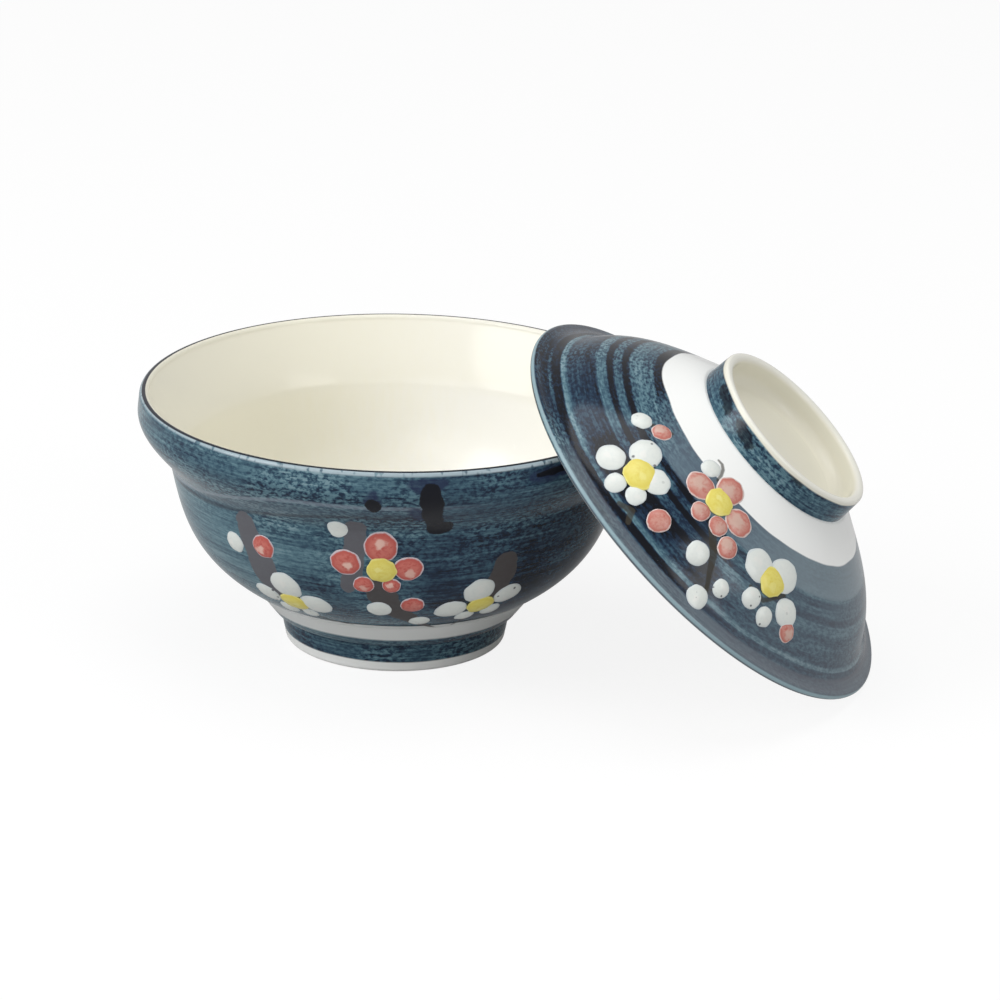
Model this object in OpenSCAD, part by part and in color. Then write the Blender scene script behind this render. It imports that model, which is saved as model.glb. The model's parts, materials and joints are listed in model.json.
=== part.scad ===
// Donburi bowl with a lid: turned stoneware that flares inside its collar, a luted foot ring,
// a luted grip ring on the lid and raised blossom enamel. All lengths are millimetres.
// The bowl's foot stands on z = 0 with its axis on z, and the lid leans on the bowl along x.

/* [Bowl] */
// Height of the bowl from the table to its lip
bowl_height = 80; // [76:0.5:86]
// Widest diameter of the bowl, at its collar
bowl_diameter = 159.2; // [152:0.2:168]
// Thickness of the bowl's wall
bowl_wall = 5; // [4:0.25:6]
// Thickness of the bowl's floor over the foot recess
floor_thickness = 6; // [5:0.25:8]
// Thickness of the bowl's rounded lip
lip_thickness = 3; // [2.4:0.1:3.6]
// How far the lip leans in from the collar's widest line
lip_inset = 0.5; // [0:0.1:1]
// Height of the plain cove between the foot ring and the belly
cove_height = 8.1; // [6:0.1:10]
// Width of the cove, on the radius
cove_width = 8.2; // [6:0.1:10]

/* [Lid seat] */
// Wall outside the lid's rim where it rests in the collar, measured to the collar's widest line
collar_wall = 6.3; // [5.6:0.1:7]
// Play around the lid's rim in the collar
seat_play = 1; // [0.5:0.1:1.5]

/* [Foot ring] */
// Diameter of the foot ring on the table
foot_diameter = 68.5; // [62:0.5:74]
// Height of the foot ring
foot_height = 10; // [8:0.5:12]
// Wall of the foot ring
foot_wall = 5.6; // [4.8:0.2:7]
// How far the foot ring widens to its top, on the radius
foot_flare = 1.8; // [0.5:0.1:2.5]
// Rounding of the foot ring's standing edge
foot_round = 1.4; // [0.8:0.1:1.8]
// Step of the bowl's underside outside the foot ring
foot_step = 1.9; // [0.8:0.1:2.5]

/* [Lid] */
// Height of the lid's crown above the middle of its lip
crown_height = 31; // [28:0.5:35]
// Thickness of the lid's dome
lid_wall = 4.2; // [3.6:0.1:5]
// Thickness of the lid's crown under the grip ring
crown_thickness = 5; // [4.4:0.2:6]
// Thickness of the lid's rounded lip
lid_lip = 2.5; // [2:0.1:3]
// Width of the flat brim under the lid's edge
brim_width = 7.8; // [6.6:0.2:8.6]

/* [Grip ring] */
// Diameter of the grip ring at its base
grip_diameter = 59.2; // [52:0.4:64]
// Height of the grip ring over the crown
grip_height = 8.6; // [6:0.2:11]
// Wall of the grip ring
grip_wall = 3.6; // [3.2:0.1:4.6]
// How far the grip ring narrows to its top, on the radius
grip_taper = 0.4; // [0:0.1:1]
// Rounding of the grip ring's top edge
grip_round = 1; // [0.6:0.1:1.4]
// Cove inside the grip ring, where it is smoothed into the crown
grip_cove = 4; // [2.5:0.5:5]
// Step of the crown outside the grip ring
grip_land = 0.6; // [0.4:0.1:1.2]

/* [Lid pose] */
// Where the lid is drawn: leaning on the bowl, or seated in its collar
lid_pose = "leaning"; // [leaning, seated]
// Tilt of the leaning lid from level
lean_tilt = 43.5; // [42:0.5:46]
// Gap left between the leaning lid and the bowl
lean_gap = 0.3; // [0.2:0.1:0.6]

/* [Blossom enamel] */
// Radius of a full-sized enamel petal
petal_radius = 4.6; // [4:0.1:5]
// How far a petal's dome stands off the glaze
petal_rise = 0.7; // [0.6:0.05:0.9]
// Turn between the two sprays of blossom on opposite sides
spray_turn = 180; // [150:5:210]

/* [Finish] */
// Facets around each turned piece in a preview
facets = 360; // [240:60:360]

/* [Hidden] */
$fn = facets;

// Colours of the glazes and enamels
slate_blue = [0.27, 0.36, 0.43];
band_blue = [0.33, 0.42, 0.52];
white_enamel = [0.92, 0.93, 0.92];
red_enamel = [0.80, 0.40, 0.36];
yellow_enamel = [0.90, 0.85, 0.38];

// Steps along the turned curves, and degrees along a rounded edge
belly_steps = 22;
collar_steps = 12;
floor_steps = 8;
flare_steps = 10;
dome_steps = 30;
brim_steps = 12;
edge_step = 22.5;

// Shape of the bowl: the waist under the collar, and how the belly, collar, floor and inner flare curve
waist_level_share = 0.729;
waist_radius_share = 0.878;
collar_rise_share = 0.72;
belly_straight_share = 0.33;
belly_bow = 3.5;
collar_bow = 1.25;
floor_bow = 3.4;
floor_meet_share = 0.285;
flare_start_share = 0.755;
flare_hold_share = 0.1;

// Shape of the lid: how its dome falls from the crown, and how it sweeps out into the brim
dome_slope_share = 0.83;
dome_fall_share = 0.55;
dome_bow = 5.5;
brim_start_share = 0.8;
brim_bow = 2;

// A blossom: the petals' sizes from its largest one round, their distance out, and the centre's size
petal_shares = [1, 0.9, 0.65, 0.65, 0.9];
petal_turn = 360 / len(petal_shares);
petal_reach_share = 1.7;
centre_share = 0.82;
// Blossoms on the bowl: [turn, share of the wall's height, spin]
bowl_white_blossom_shares = [[-108, 0.26, 0], [-51, 0.29, 15]];
bowl_red_blossom_shares = [[-80, 0.51, 0]];
// Buds on the bowl: [turn, share of the wall's height, share of a full petal]
bowl_white_bud_shares = [[-122, 0.52, 0.75], [-90, 0.65, 0.7], [-81, 0.28, 0.8], [-68, 0.2, 0.7]];
bowl_red_bud_shares = [[-112, 0.54, 0.85], [-71, 0.33, 0.75]];
// Blossoms on the lid: [turn, share of the dome's width, spin]
lid_white_blossom_shares = [[-119, 0.66, 31], [-63, 0.53, -35]];
lid_red_blossom_shares = [[-96, 0.36, 6]];
// Buds on the lid: [turn, share of the dome's width, share of a full petal]
lid_white_bud_shares = [
    [-136, 0.49, 0.67], [-110, 0.22, 0.65], [-90, 0.67, 0.7], [-82, 0.8, 0.7], [-77, 0.7, 0.57]
];
lid_red_bud_shares = [[-130, 0.41, 0.6], [-104, 0.72, 0.7], [-83, 0.55, 0.7], [-49, 0.75, 0.6]];

// Curve helpers: a line moved sideways, a rounded edge, and a list turned round
function aside(p, gap) = [for (i = [0 : len(p) - 1])
    let (along = p[min(i + 1, len(p) - 1)] - p[max(i - 1, 0)])
    p[i] + gap * [-along[1], along[0]] / norm(along)];
function edge(centre, radius, from, to) = [for (a = [from : (to > from ? edge_step : -edge_step) : to])
    centre + radius * [cos(a), sin(a)]];
function reversed(p) = [for (i = [len(p) - 1 : -1 : 0]) p[i]];

// Bowl: outside, inside and the flare up to the lip that the lid rests in
collar_radius = bowl_diameter / 2;
foot_radius = foot_diameter / 2;
foot_top_radius = foot_radius + foot_flare;
cove_radius = foot_top_radius + cove_width;
cove_level = foot_height + cove_height;
waist_radius = waist_radius_share * collar_radius;
waist_level = waist_level_share * bowl_height;
collar_rise = collar_rise_share * (bowl_height - waist_level);
wall_height = bowl_height - foot_height;
lip_round = lip_thickness / 2;
lip_centre = [collar_radius - lip_inset - lip_round, bowl_height - lip_round];
function belly(t) = belly_straight_share * t + (1 - belly_straight_share) * (1 - pow(1 - t, belly_bow));
bowl_wall_side = concat(
    [[foot_top_radius + foot_step, foot_height]],
    [for (k = [0 : belly_steps]) let (t = k / belly_steps)
        [cove_radius + (waist_radius - cove_radius) * belly(t),
         cove_level + (waist_level - cove_level) * t]],
    [for (k = [1 : collar_steps]) let (t = k / collar_steps)
        [waist_radius + (collar_radius - waist_radius) * pow(sin(90 * t), collar_bow),
         waist_level + collar_rise * t]]);
bowl_side = concat(bowl_wall_side, edge(lip_centre, lip_round, 0, 90));
floor_level = foot_height + floor_thickness;
floor_meet = floor_meet_share * bowl_height;
flare_start = flare_start_share * bowl_height;
inner_wall = [for (p = aside(bowl_wall_side, bowl_wall)) if (p[1] > floor_meet && p[1] < flare_start) p];
flare_foot = inner_wall[len(inner_wall) - 1];
flare_top = lip_centre - [lip_round, 0];
flare_along = flare_foot - inner_wall[len(inner_wall) - 2];
flare_bend = flare_foot + flare_hold_share * norm(flare_top - flare_foot) * flare_along / norm(flare_along);
flare = [for (k = [1 : flare_steps]) let (t = k / flare_steps)
    (1 - t) * (1 - t) * flare_foot + 2 * t * (1 - t) * flare_bend + t * t * flare_top];
floor_edge = inner_wall[0];
floor_curve = [for (k = [0 : floor_steps - 1]) let (s = k / floor_steps)
    [s * floor_edge[0], floor_level + (floor_edge[1] - floor_level) * pow(s, floor_bow)]];
bowl_inside = concat(floor_curve, inner_wall, flare);
bowl_lip = edge(lip_centre, lip_round, 90 + edge_step, 180 - edge_step);
bowl_table = [for (p = bowl_side) [p[1], p[0]]];

// Lid: its rim is sized by the collar, and rests where the flare inside it is as wide
lid_radius = collar_radius - collar_wall - seat_play;
seat_level = lookup(lid_radius, flare);
lid_round = lid_lip / 2;
lid_lip_centre = [lid_radius - lid_round, 0];
grip_radius = grip_diameter / 2;
crown_radius = grip_radius + grip_land;
dome_width = lid_radius - lid_round - crown_radius;
dome_height = crown_height - lid_round;
function fall(t) = 1 - dome_slope_share * t - dome_fall_share * pow(t, dome_bow);
function dome(t) = t < brim_start_share ? fall(t)
    : fall(brim_start_share) * pow((1 - t) / (1 - brim_start_share), brim_bow);
lid_side = [for (k = [0 : dome_steps]) let (t = k / dome_steps)
    [crown_radius + dome_width * t, lid_round + dome_height * dome(t)]];
brim_radius = lid_radius - brim_width;
ceiling = crown_height - crown_thickness;
lid_inside = [for (p = aside(lid_side, -lid_wall)) if (p[1] < ceiling && p[1] > 0 && p[0] < brim_radius) p];
lid_edge = edge(lid_lip_centre, lid_round, 90 - edge_step, -90);
lid_table = concat([[0, crown_height]], lid_side);

// Where the leaning lid touches: its lip on the table, its brim on the bowl's lip
lean_turns = [0 : 1 : 120];
lid_underside = concat(lid_inside, [for (k = [0 : brim_steps])
    [brim_radius + (lid_lip_centre[0] - brim_radius) * k / brim_steps, -lid_round]], lid_edge);
lean_lift = max([for (p = lid_underside) p[0] * sin(lean_tilt) - p[1] * cos(lean_tilt)]);
function lean_reach_at(p, turn) =
    let (
        back = p[1] * sin(lean_tilt) - p[0] * cos(turn) * cos(lean_tilt),
        level = lean_lift + p[1] * cos(lean_tilt) + p[0] * cos(turn) * sin(lean_tilt),
        side = p[0] * sin(turn),
        clear = lookup(level, bowl_table) + lean_gap)
    (level > bowl_height + lean_gap || abs(side) > clear) ? 0 : sqrt(clear * clear - side * side) - back;
lean_reach = max([for (p = lid_underside, turn = lean_turns) lean_reach_at(p, turn)]);

// Enamel dabs, each as [point on the glaze, outward direction, radius]
function turned(turn, radius, level) = [radius * cos(turn), radius * sin(turn), level];
function bowl_radius_at(level) = lookup(level, bowl_table);
function bowl_out_at(level) =
    let (lean = bowl_radius_at(level + petal_rise) - bowl_radius_at(level - petal_rise))
    [2 * petal_rise, -lean] / norm([2 * petal_rise, lean]);
function bowl_dab(turn, level, radius) =
    let (out = bowl_out_at(level))
    [turned(turn, bowl_radius_at(level), level), turned(turn, out[0], out[1]), radius];
function lid_level_at(radius) = lookup(radius, lid_table);
function lid_out_at(radius) =
    let (fall = lid_level_at(radius - petal_rise) - lid_level_at(radius + petal_rise))
    [fall, 2 * petal_rise] / norm([fall, 2 * petal_rise]);
function lid_dab(turn, width, radius) =
    let (out = lid_out_at(width))
    [turned(turn, width, lid_level_at(width)), turned(turn, out[0], out[1]), radius];

// Sprays: both turns of a list, with each blossom's petals set out round its centre along the glaze
function bowl_level(share) = foot_height + share * wall_height;
function lid_width(share) = crown_radius + share * dome_width;
function arc_turn(length, radius) = length / radius * 180 / PI;
petal_reach = petal_reach_share * petal_radius;
function bowl_petals(blossoms) = [
    for (spray = [0, spray_turn], b = blossoms, i = [0 : len(petal_shares) - 1])
    let (
        level = bowl_level(b[1]),
        a = 90 + b[2] + i * petal_turn,
        turn = b[0] + spray + arc_turn(petal_reach * cos(a), bowl_radius_at(level)))
    bowl_dab(turn, level + petal_reach * sin(a) * bowl_out_at(level)[0], petal_shares[i] * petal_radius)];
function bowl_buds(buds) = [for (spray = [0, spray_turn], b = buds)
    bowl_dab(b[0] + spray, bowl_level(b[1]), b[2] * petal_radius)];
function bowl_centres(blossoms) = [for (spray = [0, spray_turn], b = blossoms)
    bowl_dab(b[0] + spray, bowl_level(b[1]), centre_share * petal_radius)];
function lid_petals(blossoms) = [
    for (spray = [0, spray_turn], b = blossoms, i = [0 : len(petal_shares) - 1])
    let (
        width = lid_width(b[1]),
        a = 90 + b[2] + i * petal_turn,
        turn = b[0] + spray + arc_turn(petal_reach * cos(a), width))
    lid_dab(turn, width - petal_reach * sin(a) * lid_out_at(width)[1], petal_shares[i] * petal_radius)];
function lid_buds(buds) = [for (spray = [0, spray_turn], b = buds)
    lid_dab(b[0] + spray, lid_width(b[1]), b[2] * petal_radius)];
function lid_centres(blossoms) = [for (spray = [0, spray_turn], b = blossoms)
    lid_dab(b[0] + spray, lid_width(b[1]), centre_share * petal_radius)];
bowl_white = concat(bowl_petals(bowl_white_blossom_shares), bowl_buds(bowl_white_bud_shares));
bowl_red = concat(bowl_petals(bowl_red_blossom_shares), bowl_buds(bowl_red_bud_shares));
bowl_yellow = bowl_centres(concat(bowl_white_blossom_shares, bowl_red_blossom_shares));
lid_white = concat(lid_petals(lid_white_blossom_shares), lid_buds(lid_white_bud_shares));
lid_red = concat(lid_petals(lid_red_blossom_shares), lid_buds(lid_red_bud_shares));
lid_yellow = lid_centres(concat(lid_white_blossom_shares, lid_red_blossom_shares));

// A dab is the cap of a ball, sized to give the dab its radius on a surface that curves like the collar
function ball_radius(d) =
    1 / (2 * petal_rise / (d[2] * d[2] + petal_rise * petal_rise) + 1 / collar_radius);
function ball_centre(d) = d[0] - (ball_radius(d) - petal_rise) * d[1];

module turn_section(points) {
    rotate_extrude()
        polygon(points);
}

module bowl_outside() {
    turn_section(concat([[0, foot_height]], bowl_side, [[0, bowl_height]]));
}

module lid_outside() {
    turn_section(concat([[0, -crown_height], [0, crown_height]], lid_side,
        [[lid_lip_centre[0], -crown_height]]));
}

module ball(d) {
    translate(ball_centre(d))
        sphere(r = ball_radius(d));
}

// Domes on the surface given as the child, cut back where they meet the domes of the other enamels
module dabs(list, others) {
    for (d = list)
        difference() {
            ball(d);
            children();
            for (o = others)
                if (norm(o[0] - d[0]) < o[2] + d[2])
                    ball(o);
        }
}

module place_lid() {
    if (lid_pose == "seated")
        translate([0, 0, seat_level + lid_round])
            children();
    else
        translate([lean_reach, 0, lean_lift])
            rotate([0, lean_tilt, 0])
                children();
}

module bowl_body() {
    color(slate_blue)
        turn_section(concat([[0, foot_height]], bowl_side, bowl_lip, reversed(bowl_inside)));
}

module foot_ring() {
    color(band_blue)
        turn_section(concat(
            edge([foot_radius - foot_wall + foot_round, foot_round], foot_round, 180, 270),
            edge([foot_radius - foot_round, foot_round], foot_round, 270, 360),
            [[foot_top_radius, foot_height], [foot_radius - foot_wall, foot_height]]));
}

module bowl_white_petals() {
    color(white_enamel)
        dabs(bowl_white, bowl_yellow)
            bowl_outside();
}

module bowl_red_petals() {
    color(red_enamel)
        dabs(bowl_red, concat(bowl_yellow, bowl_white))
            bowl_outside();
}

module bowl_yellow_centres() {
    color(yellow_enamel)
        dabs(bowl_yellow, [])
            bowl_outside();
}

module lid_body() {
    color(slate_blue)
        place_lid()
            turn_section(concat(
                [[0, ceiling], [0, crown_height]], lid_side, lid_edge,
                [[brim_radius, -lid_round]], reversed(lid_inside)));
}

module grip_ring() {
    grip_top = crown_height + grip_height;
    cove_centre = [grip_radius - grip_wall - grip_cove, crown_height + grip_cove];
    cove = edge(cove_centre, grip_cove, 0, edge_step - 90);
    color(band_blue)
        place_lid()
            turn_section(concat(
                [[cove[len(cove) - 1][0], crown_height], [grip_radius, crown_height]],
                edge([grip_radius - grip_taper - grip_round, grip_top - grip_round], grip_round, 0, 90),
                edge([grip_radius - grip_wall + grip_round, grip_top - grip_round], grip_round, 90, 180),
                cove));
}

module lid_white_petals() {
    color(white_enamel)
        place_lid()
            dabs(lid_white, lid_yellow)
                lid_outside();
}

module lid_red_petals() {
    color(red_enamel)
        place_lid()
            dabs(lid_red, concat(lid_yellow, lid_white))
                lid_outside();
}

module lid_yellow_centres() {
    color(yellow_enamel)
        place_lid()
            dabs(lid_yellow, [])
                lid_outside();
}

bowl_body();
foot_ring();
bowl_white_petals();
bowl_red_petals();
bowl_yellow_centres();
lid_body();
grip_ring();
lid_white_petals();
lid_red_petals();
lid_yellow_centres();
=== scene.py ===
# %% [markdown]
# # A lidded donburi bowl, dressed in Blender
# The object is a turned stoneware bowl whose domed lid leans on its side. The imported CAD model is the
# frame: it gives each piece its place and size, and this lesson gives every surface its shape and finish.
# The scene is in metres, in the CAD's own axes, so a piece made here needs no fitting afterwards.

# %% Load the frame
import json
import math

import bmesh
import bpy
from mathutils import Euler, Matrix, Vector


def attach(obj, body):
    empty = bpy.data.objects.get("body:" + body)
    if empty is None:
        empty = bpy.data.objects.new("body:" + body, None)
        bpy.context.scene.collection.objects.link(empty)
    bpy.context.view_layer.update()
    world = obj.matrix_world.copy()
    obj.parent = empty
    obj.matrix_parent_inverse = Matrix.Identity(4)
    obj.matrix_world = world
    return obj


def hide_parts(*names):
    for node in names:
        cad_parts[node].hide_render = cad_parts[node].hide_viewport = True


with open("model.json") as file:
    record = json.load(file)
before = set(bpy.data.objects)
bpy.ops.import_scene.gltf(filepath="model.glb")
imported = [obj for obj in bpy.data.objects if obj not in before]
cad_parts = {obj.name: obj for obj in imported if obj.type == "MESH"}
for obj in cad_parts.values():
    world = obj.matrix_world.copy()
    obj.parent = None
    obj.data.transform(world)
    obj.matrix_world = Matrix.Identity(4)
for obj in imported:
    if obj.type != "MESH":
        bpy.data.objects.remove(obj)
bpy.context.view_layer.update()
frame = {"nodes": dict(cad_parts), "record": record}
print("nodes:", sorted(frame["nodes"]))

# %% [markdown]
# ## The turned profiles
# Bowl, lid, foot ring and grip ring are all turned on a wheel, so each is one line spun round an axis.
# A spun line could be drawn by hand as a curve, but a potter's line follows a few plain rules: a belly that
# bows out, a collar that rolls over, a rounded lip. Written as rules, the line keeps the CAD's sizes, with
# many more steps than the CAD needs. Its corners are rounded a little, as melted glaze leaves them, and two
# bends are softer than in the CAD: the start of the flare inside the bowl, and the grip ring's inner edge.
# Points are (radius, level) in millimetres.

# %% Tools for drawing a profile
def by_rule(steps, rule):
    """Points of a rule that takes a share from 0 to 1."""
    return [rule(step / steps) for step in range(steps + 1)]


def rounded(centre, radius, start, end, steps=10):
    """Points of an arc, with its angles in degrees."""
    def point(share):
        angle = math.radians(start + (end - start) * share)
        return (centre[0] + radius * math.cos(angle), centre[1] + radius * math.sin(angle))
    return by_rule(steps, point)


def moved_aside(line, gap):
    """The line moved to its left by a gap."""
    moved = []
    for index, (radius, level) in enumerate(line):
        before, after = line[max(index - 1, 0)], line[min(index + 1, len(line) - 1)]
        way = Vector((after[0] - before[0], after[1] - before[1])).normalized()
        moved.append((radius - gap * way.y, level + gap * way.x))
    return moved


# %% Tools for softening and measuring a profile
GLAZE_ROUND = 0.8
MOST_OF_A_STEP = 0.45
CORNER_STEPS = 5
LEAST_BEND = math.radians(8)
LONGEST_STEP = 2.0


def softened(line):
    """Rounds each corner as melted glaze does, then splits the long straight steps."""
    soft = [Vector(line[0])]
    for before, corner, after in zip(line, line[1:], line[2:]):
        a, b, c = Vector(before), Vector(corner), Vector(after)
        if (b - a).angle(c - b) < LEAST_BEND:
            soft.append(b)
            continue
        start = b + (a - b).normalized() * min(GLAZE_ROUND, MOST_OF_A_STEP * (a - b).length)
        end = b + (c - b).normalized() * min(GLAZE_ROUND, MOST_OF_A_STEP * (c - b).length)
        soft += by_rule(CORNER_STEPS, lambda t: start.lerp(b, t).lerp(b.lerp(end, t), t))
    soft.append(Vector(line[-1]))
    fine = [soft[0]]
    for a, b in zip(soft, soft[1:]):
        count = max(1, math.ceil((b - a).length / LONGEST_STEP))
        fine += [a.lerp(b, step / count) for step in range(1, count + 1)]
    return [tuple(point) for point in fine]


def lengths(line):
    """How far along the line each of its points lies."""
    along = [0.0]
    for a, b in zip(line, line[1:]):
        along.append(along[-1] + math.dist(a, b))
    return along


def crossings(line, axis, value):
    """Each (length along, radius, level) at which the radius (axis 0) or the level (axis 1) has a value."""
    found = []
    for a, b, start in zip(line, line[1:], lengths(line)):
        if (a[axis] - value) * (b[axis] - value) <= 0 and a[axis] != b[axis]:
            share = (value - a[axis]) / (b[axis] - a[axis])
            spot = [a[i] + share * (b[i] - a[i]) for i in (0, 1)]
            found.append((start + share * math.dist(a, b), *spot))
    return found


# %% [markdown]
# ## The bowl's line
# The line starts on the axis under the floor, runs out to the foot, up the cove, belly and collar, over the
# lip, and back down the inside to the axis. In that order the outward side is always on its right, which
# is what gives the spun faces their outward normals. The lid rests in the flare inside the collar.

# %% The sizes of the bowl and its foot ring
BOWL_HEIGHT = 80.0
COLLAR_RADIUS = 79.6
BOWL_WALL = 5.0
FLOOR_THICKNESS = 6.0
LIP_ROUND = 1.5
LIP_INSET = 0.5
COVE_WIDTH = 8.2
COVE_HEIGHT = 8.1
BELLY_STRAIGHT = 0.33
BELLY_BOW = 3.5
COLLAR_BOW = 1.25
FLOOR_BOW = 3.4
FLARE_HOLD = 0.16
FOOT_HEIGHT = 10.0
FOOT_RADIUS = 34.25
FOOT_FLARE = 1.8
FOOT_WALL = 5.6
FOOT_ROUND = 1.4
FOOT_STEP = 1.9
LUTED = 0.6
BELLY_STEPS = 36
COLLAR_STEPS = 18
FLOOR_STEPS = 16
FLARE_STEPS = 20

FOOT_TOP_RADIUS = FOOT_RADIUS + FOOT_FLARE
FOOT_JOIN = FOOT_HEIGHT + LUTED
FLOOR_LEVEL = FOOT_HEIGHT + FLOOR_THICKNESS
COVE = (FOOT_TOP_RADIUS + COVE_WIDTH, FOOT_HEIGHT + COVE_HEIGHT)
WAIST = (0.878 * COLLAR_RADIUS, 0.729 * BOWL_HEIGHT)
COLLAR_RISE = 0.72 * (BOWL_HEIGHT - WAIST[1])
FLOOR_MEET = 0.285 * BOWL_HEIGHT
FLARE_START = 0.755 * BOWL_HEIGHT
lip_centre = (COLLAR_RADIUS - LIP_INSET - LIP_ROUND, BOWL_HEIGHT - LIP_ROUND)
print("waist:", [round(value, 2) for value in WAIST], "lip centre:", lip_centre)


# %% Draw the bowl and its foot ring
def belly(t):
    bow = BELLY_STRAIGHT * t + (1 - BELLY_STRAIGHT) * (1 - (1 - t) ** BELLY_BOW)
    return (COVE[0] + (WAIST[0] - COVE[0]) * bow, COVE[1] + (WAIST[1] - COVE[1]) * t)


def collar(t):
    roll = math.sin(math.pi / 2 * t) ** COLLAR_BOW
    return (WAIST[0] + (COLLAR_RADIUS - WAIST[0]) * roll, WAIST[1] + COLLAR_RISE * t)


foot_step = [(FOOT_TOP_RADIUS + FOOT_STEP, FOOT_HEIGHT)]
bowl_side = foot_step + by_rule(BELLY_STEPS, belly) + by_rule(COLLAR_STEPS, collar)[1:]
inner_wall = [p for p in moved_aside(bowl_side, BOWL_WALL) if FLOOR_MEET < p[1] < FLARE_START]


def floor_curve(s):
    edge = inner_wall[0]
    return (s * edge[0], FLOOR_LEVEL + (edge[1] - FLOOR_LEVEL) * s ** FLOOR_BOW)


def flare(t):
    foot, top = Vector(inner_wall[-1]), Vector((lip_centre[0] - LIP_ROUND, lip_centre[1]))
    bend = foot + (foot - Vector(inner_wall[-2])).normalized() * FLARE_HOLD * (top - foot).length
    return tuple((1 - t) ** 2 * foot + 2 * t * (1 - t) * bend + t * t * top)


bowl_inside = by_rule(FLOOR_STEPS, floor_curve)[:-1] + inner_wall + by_rule(FLARE_STEPS, flare)[1:-1]
bowl_line = softened(
    [(0.0, FOOT_HEIGHT)] + bowl_side + rounded(lip_centre, LIP_ROUND, 0, 180) + bowl_inside[::-1])
foot_line = softened(
    [(FOOT_RADIUS - FOOT_WALL / 2, FOOT_JOIN), (FOOT_RADIUS - FOOT_WALL, FOOT_JOIN)]
    + rounded((FOOT_RADIUS - FOOT_WALL + FOOT_ROUND, FOOT_ROUND), FOOT_ROUND, 180, 270)
    + rounded((FOOT_RADIUS - FOOT_ROUND, FOOT_ROUND), FOOT_ROUND, 270, 360)
    + [(FOOT_TOP_RADIUS, FOOT_JOIN), (FOOT_RADIUS - FOOT_WALL / 2, FOOT_JOIN)])
print("bowl line:", len(bowl_line), "points,", round(lengths(bowl_line)[-1], 1), "mm long")
print("foot line:", len(foot_line), "points")

# %% [markdown]
# ## The lid's line
# The lid is drawn level, in its own axes, with the middle of its lip at level 0. Its dome falls from the
# crown almost straight and then sweeps out into a brim. The line starts on the axis under the crown, goes
# down the inside and round the lip, and climbs the outside back to the axis.

# %% The sizes of the lid and its grip ring
COLLAR_WALL = 6.3
SEAT_PLAY = 1.0
LID_RADIUS = COLLAR_RADIUS - COLLAR_WALL - SEAT_PLAY
LID_WALL = 4.2
LID_ROUND = 1.25
CROWN_HEIGHT = 31.0
CROWN_THICKNESS = 5.0
CEILING = CROWN_HEIGHT - CROWN_THICKNESS
BRIM_WIDTH = 7.8
BRIM_RADIUS = LID_RADIUS - BRIM_WIDTH
BRIM_START = 0.8
BRIM_BOW = 2
DOME_SLOPE = 0.83
DOME_FALL = 0.55
DOME_BOW = 5.5
DOME_STEPS = 48
GRIP_RADIUS = 29.6
GRIP_HEIGHT = 8.6
GRIP_WALL = 3.6
GRIP_TAPER = 0.4
GRIP_ROUND = 1.0
GRIP_INNER_ROUND = 1.8
GRIP_COVE = 4.0
GRIP_LAND = 0.6
GRIP_TOP = CROWN_HEIGHT + GRIP_HEIGHT
GRIP_JOIN = CROWN_HEIGHT - LUTED
CROWN_RADIUS = GRIP_RADIUS + GRIP_LAND
lid_lip_centre = (LID_RADIUS - LID_ROUND, 0.0)
print("lid radius:", LID_RADIUS, "grip top:", GRIP_TOP)


# %% Draw the lid and its grip ring
def dome(t):
    def fall(s):
        return 1 - DOME_SLOPE * s - DOME_FALL * s ** DOME_BOW
    share = fall(t) if t < BRIM_START else fall(BRIM_START) * ((1 - t) / (1 - BRIM_START)) ** BRIM_BOW
    radius = CROWN_RADIUS + (lid_lip_centre[0] - CROWN_RADIUS) * t
    return (radius, LID_ROUND + (CROWN_HEIGHT - LID_ROUND) * share)


lid_side = by_rule(DOME_STEPS, dome)
lid_inside = [p for p in moved_aside(lid_side, -LID_WALL) if 0 < p[1] < CEILING and p[0] < BRIM_RADIUS]
lid_line = softened(
    [(0.0, CEILING), (lid_inside[0][0], CEILING)] + lid_inside + [(BRIM_RADIUS, -LID_ROUND)]
    + rounded(lid_lip_centre, LID_ROUND, -90, 90)[:-1] + lid_side[::-1] + [(0.0, CROWN_HEIGHT)])
outer_edge = (GRIP_RADIUS - GRIP_TAPER - GRIP_ROUND, GRIP_TOP - GRIP_ROUND)
inner_edge = (GRIP_RADIUS - GRIP_WALL + GRIP_INNER_ROUND, GRIP_TOP - GRIP_INNER_ROUND)
cove_centre = (GRIP_RADIUS - GRIP_WALL - GRIP_COVE, CROWN_HEIGHT + GRIP_COVE)
grip_line = softened(
    [(GRIP_RADIUS - GRIP_WALL / 2, GRIP_JOIN), (GRIP_RADIUS, GRIP_JOIN)]
    + rounded(outer_edge, GRIP_ROUND, 0, 90) + rounded(inner_edge, GRIP_INNER_ROUND, 90, 180)
    + rounded(cove_centre, GRIP_COVE, 0, -90)
    + [(cove_centre[0], GRIP_JOIN), (GRIP_RADIUS - GRIP_WALL / 2, GRIP_JOIN)])
print("lid line:", len(lid_line), "points,", round(lengths(lid_line)[-1], 1), "mm long")
print("grip line:", len(grip_line), "points")

# %% [markdown]
# ## Where the lid leans
# The record's mount on the grip ring says where the ring's top is and which way the lid's axis points, so
# the lid's own origin is that point moved back down the axis. Nothing is placed by eye.

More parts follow.
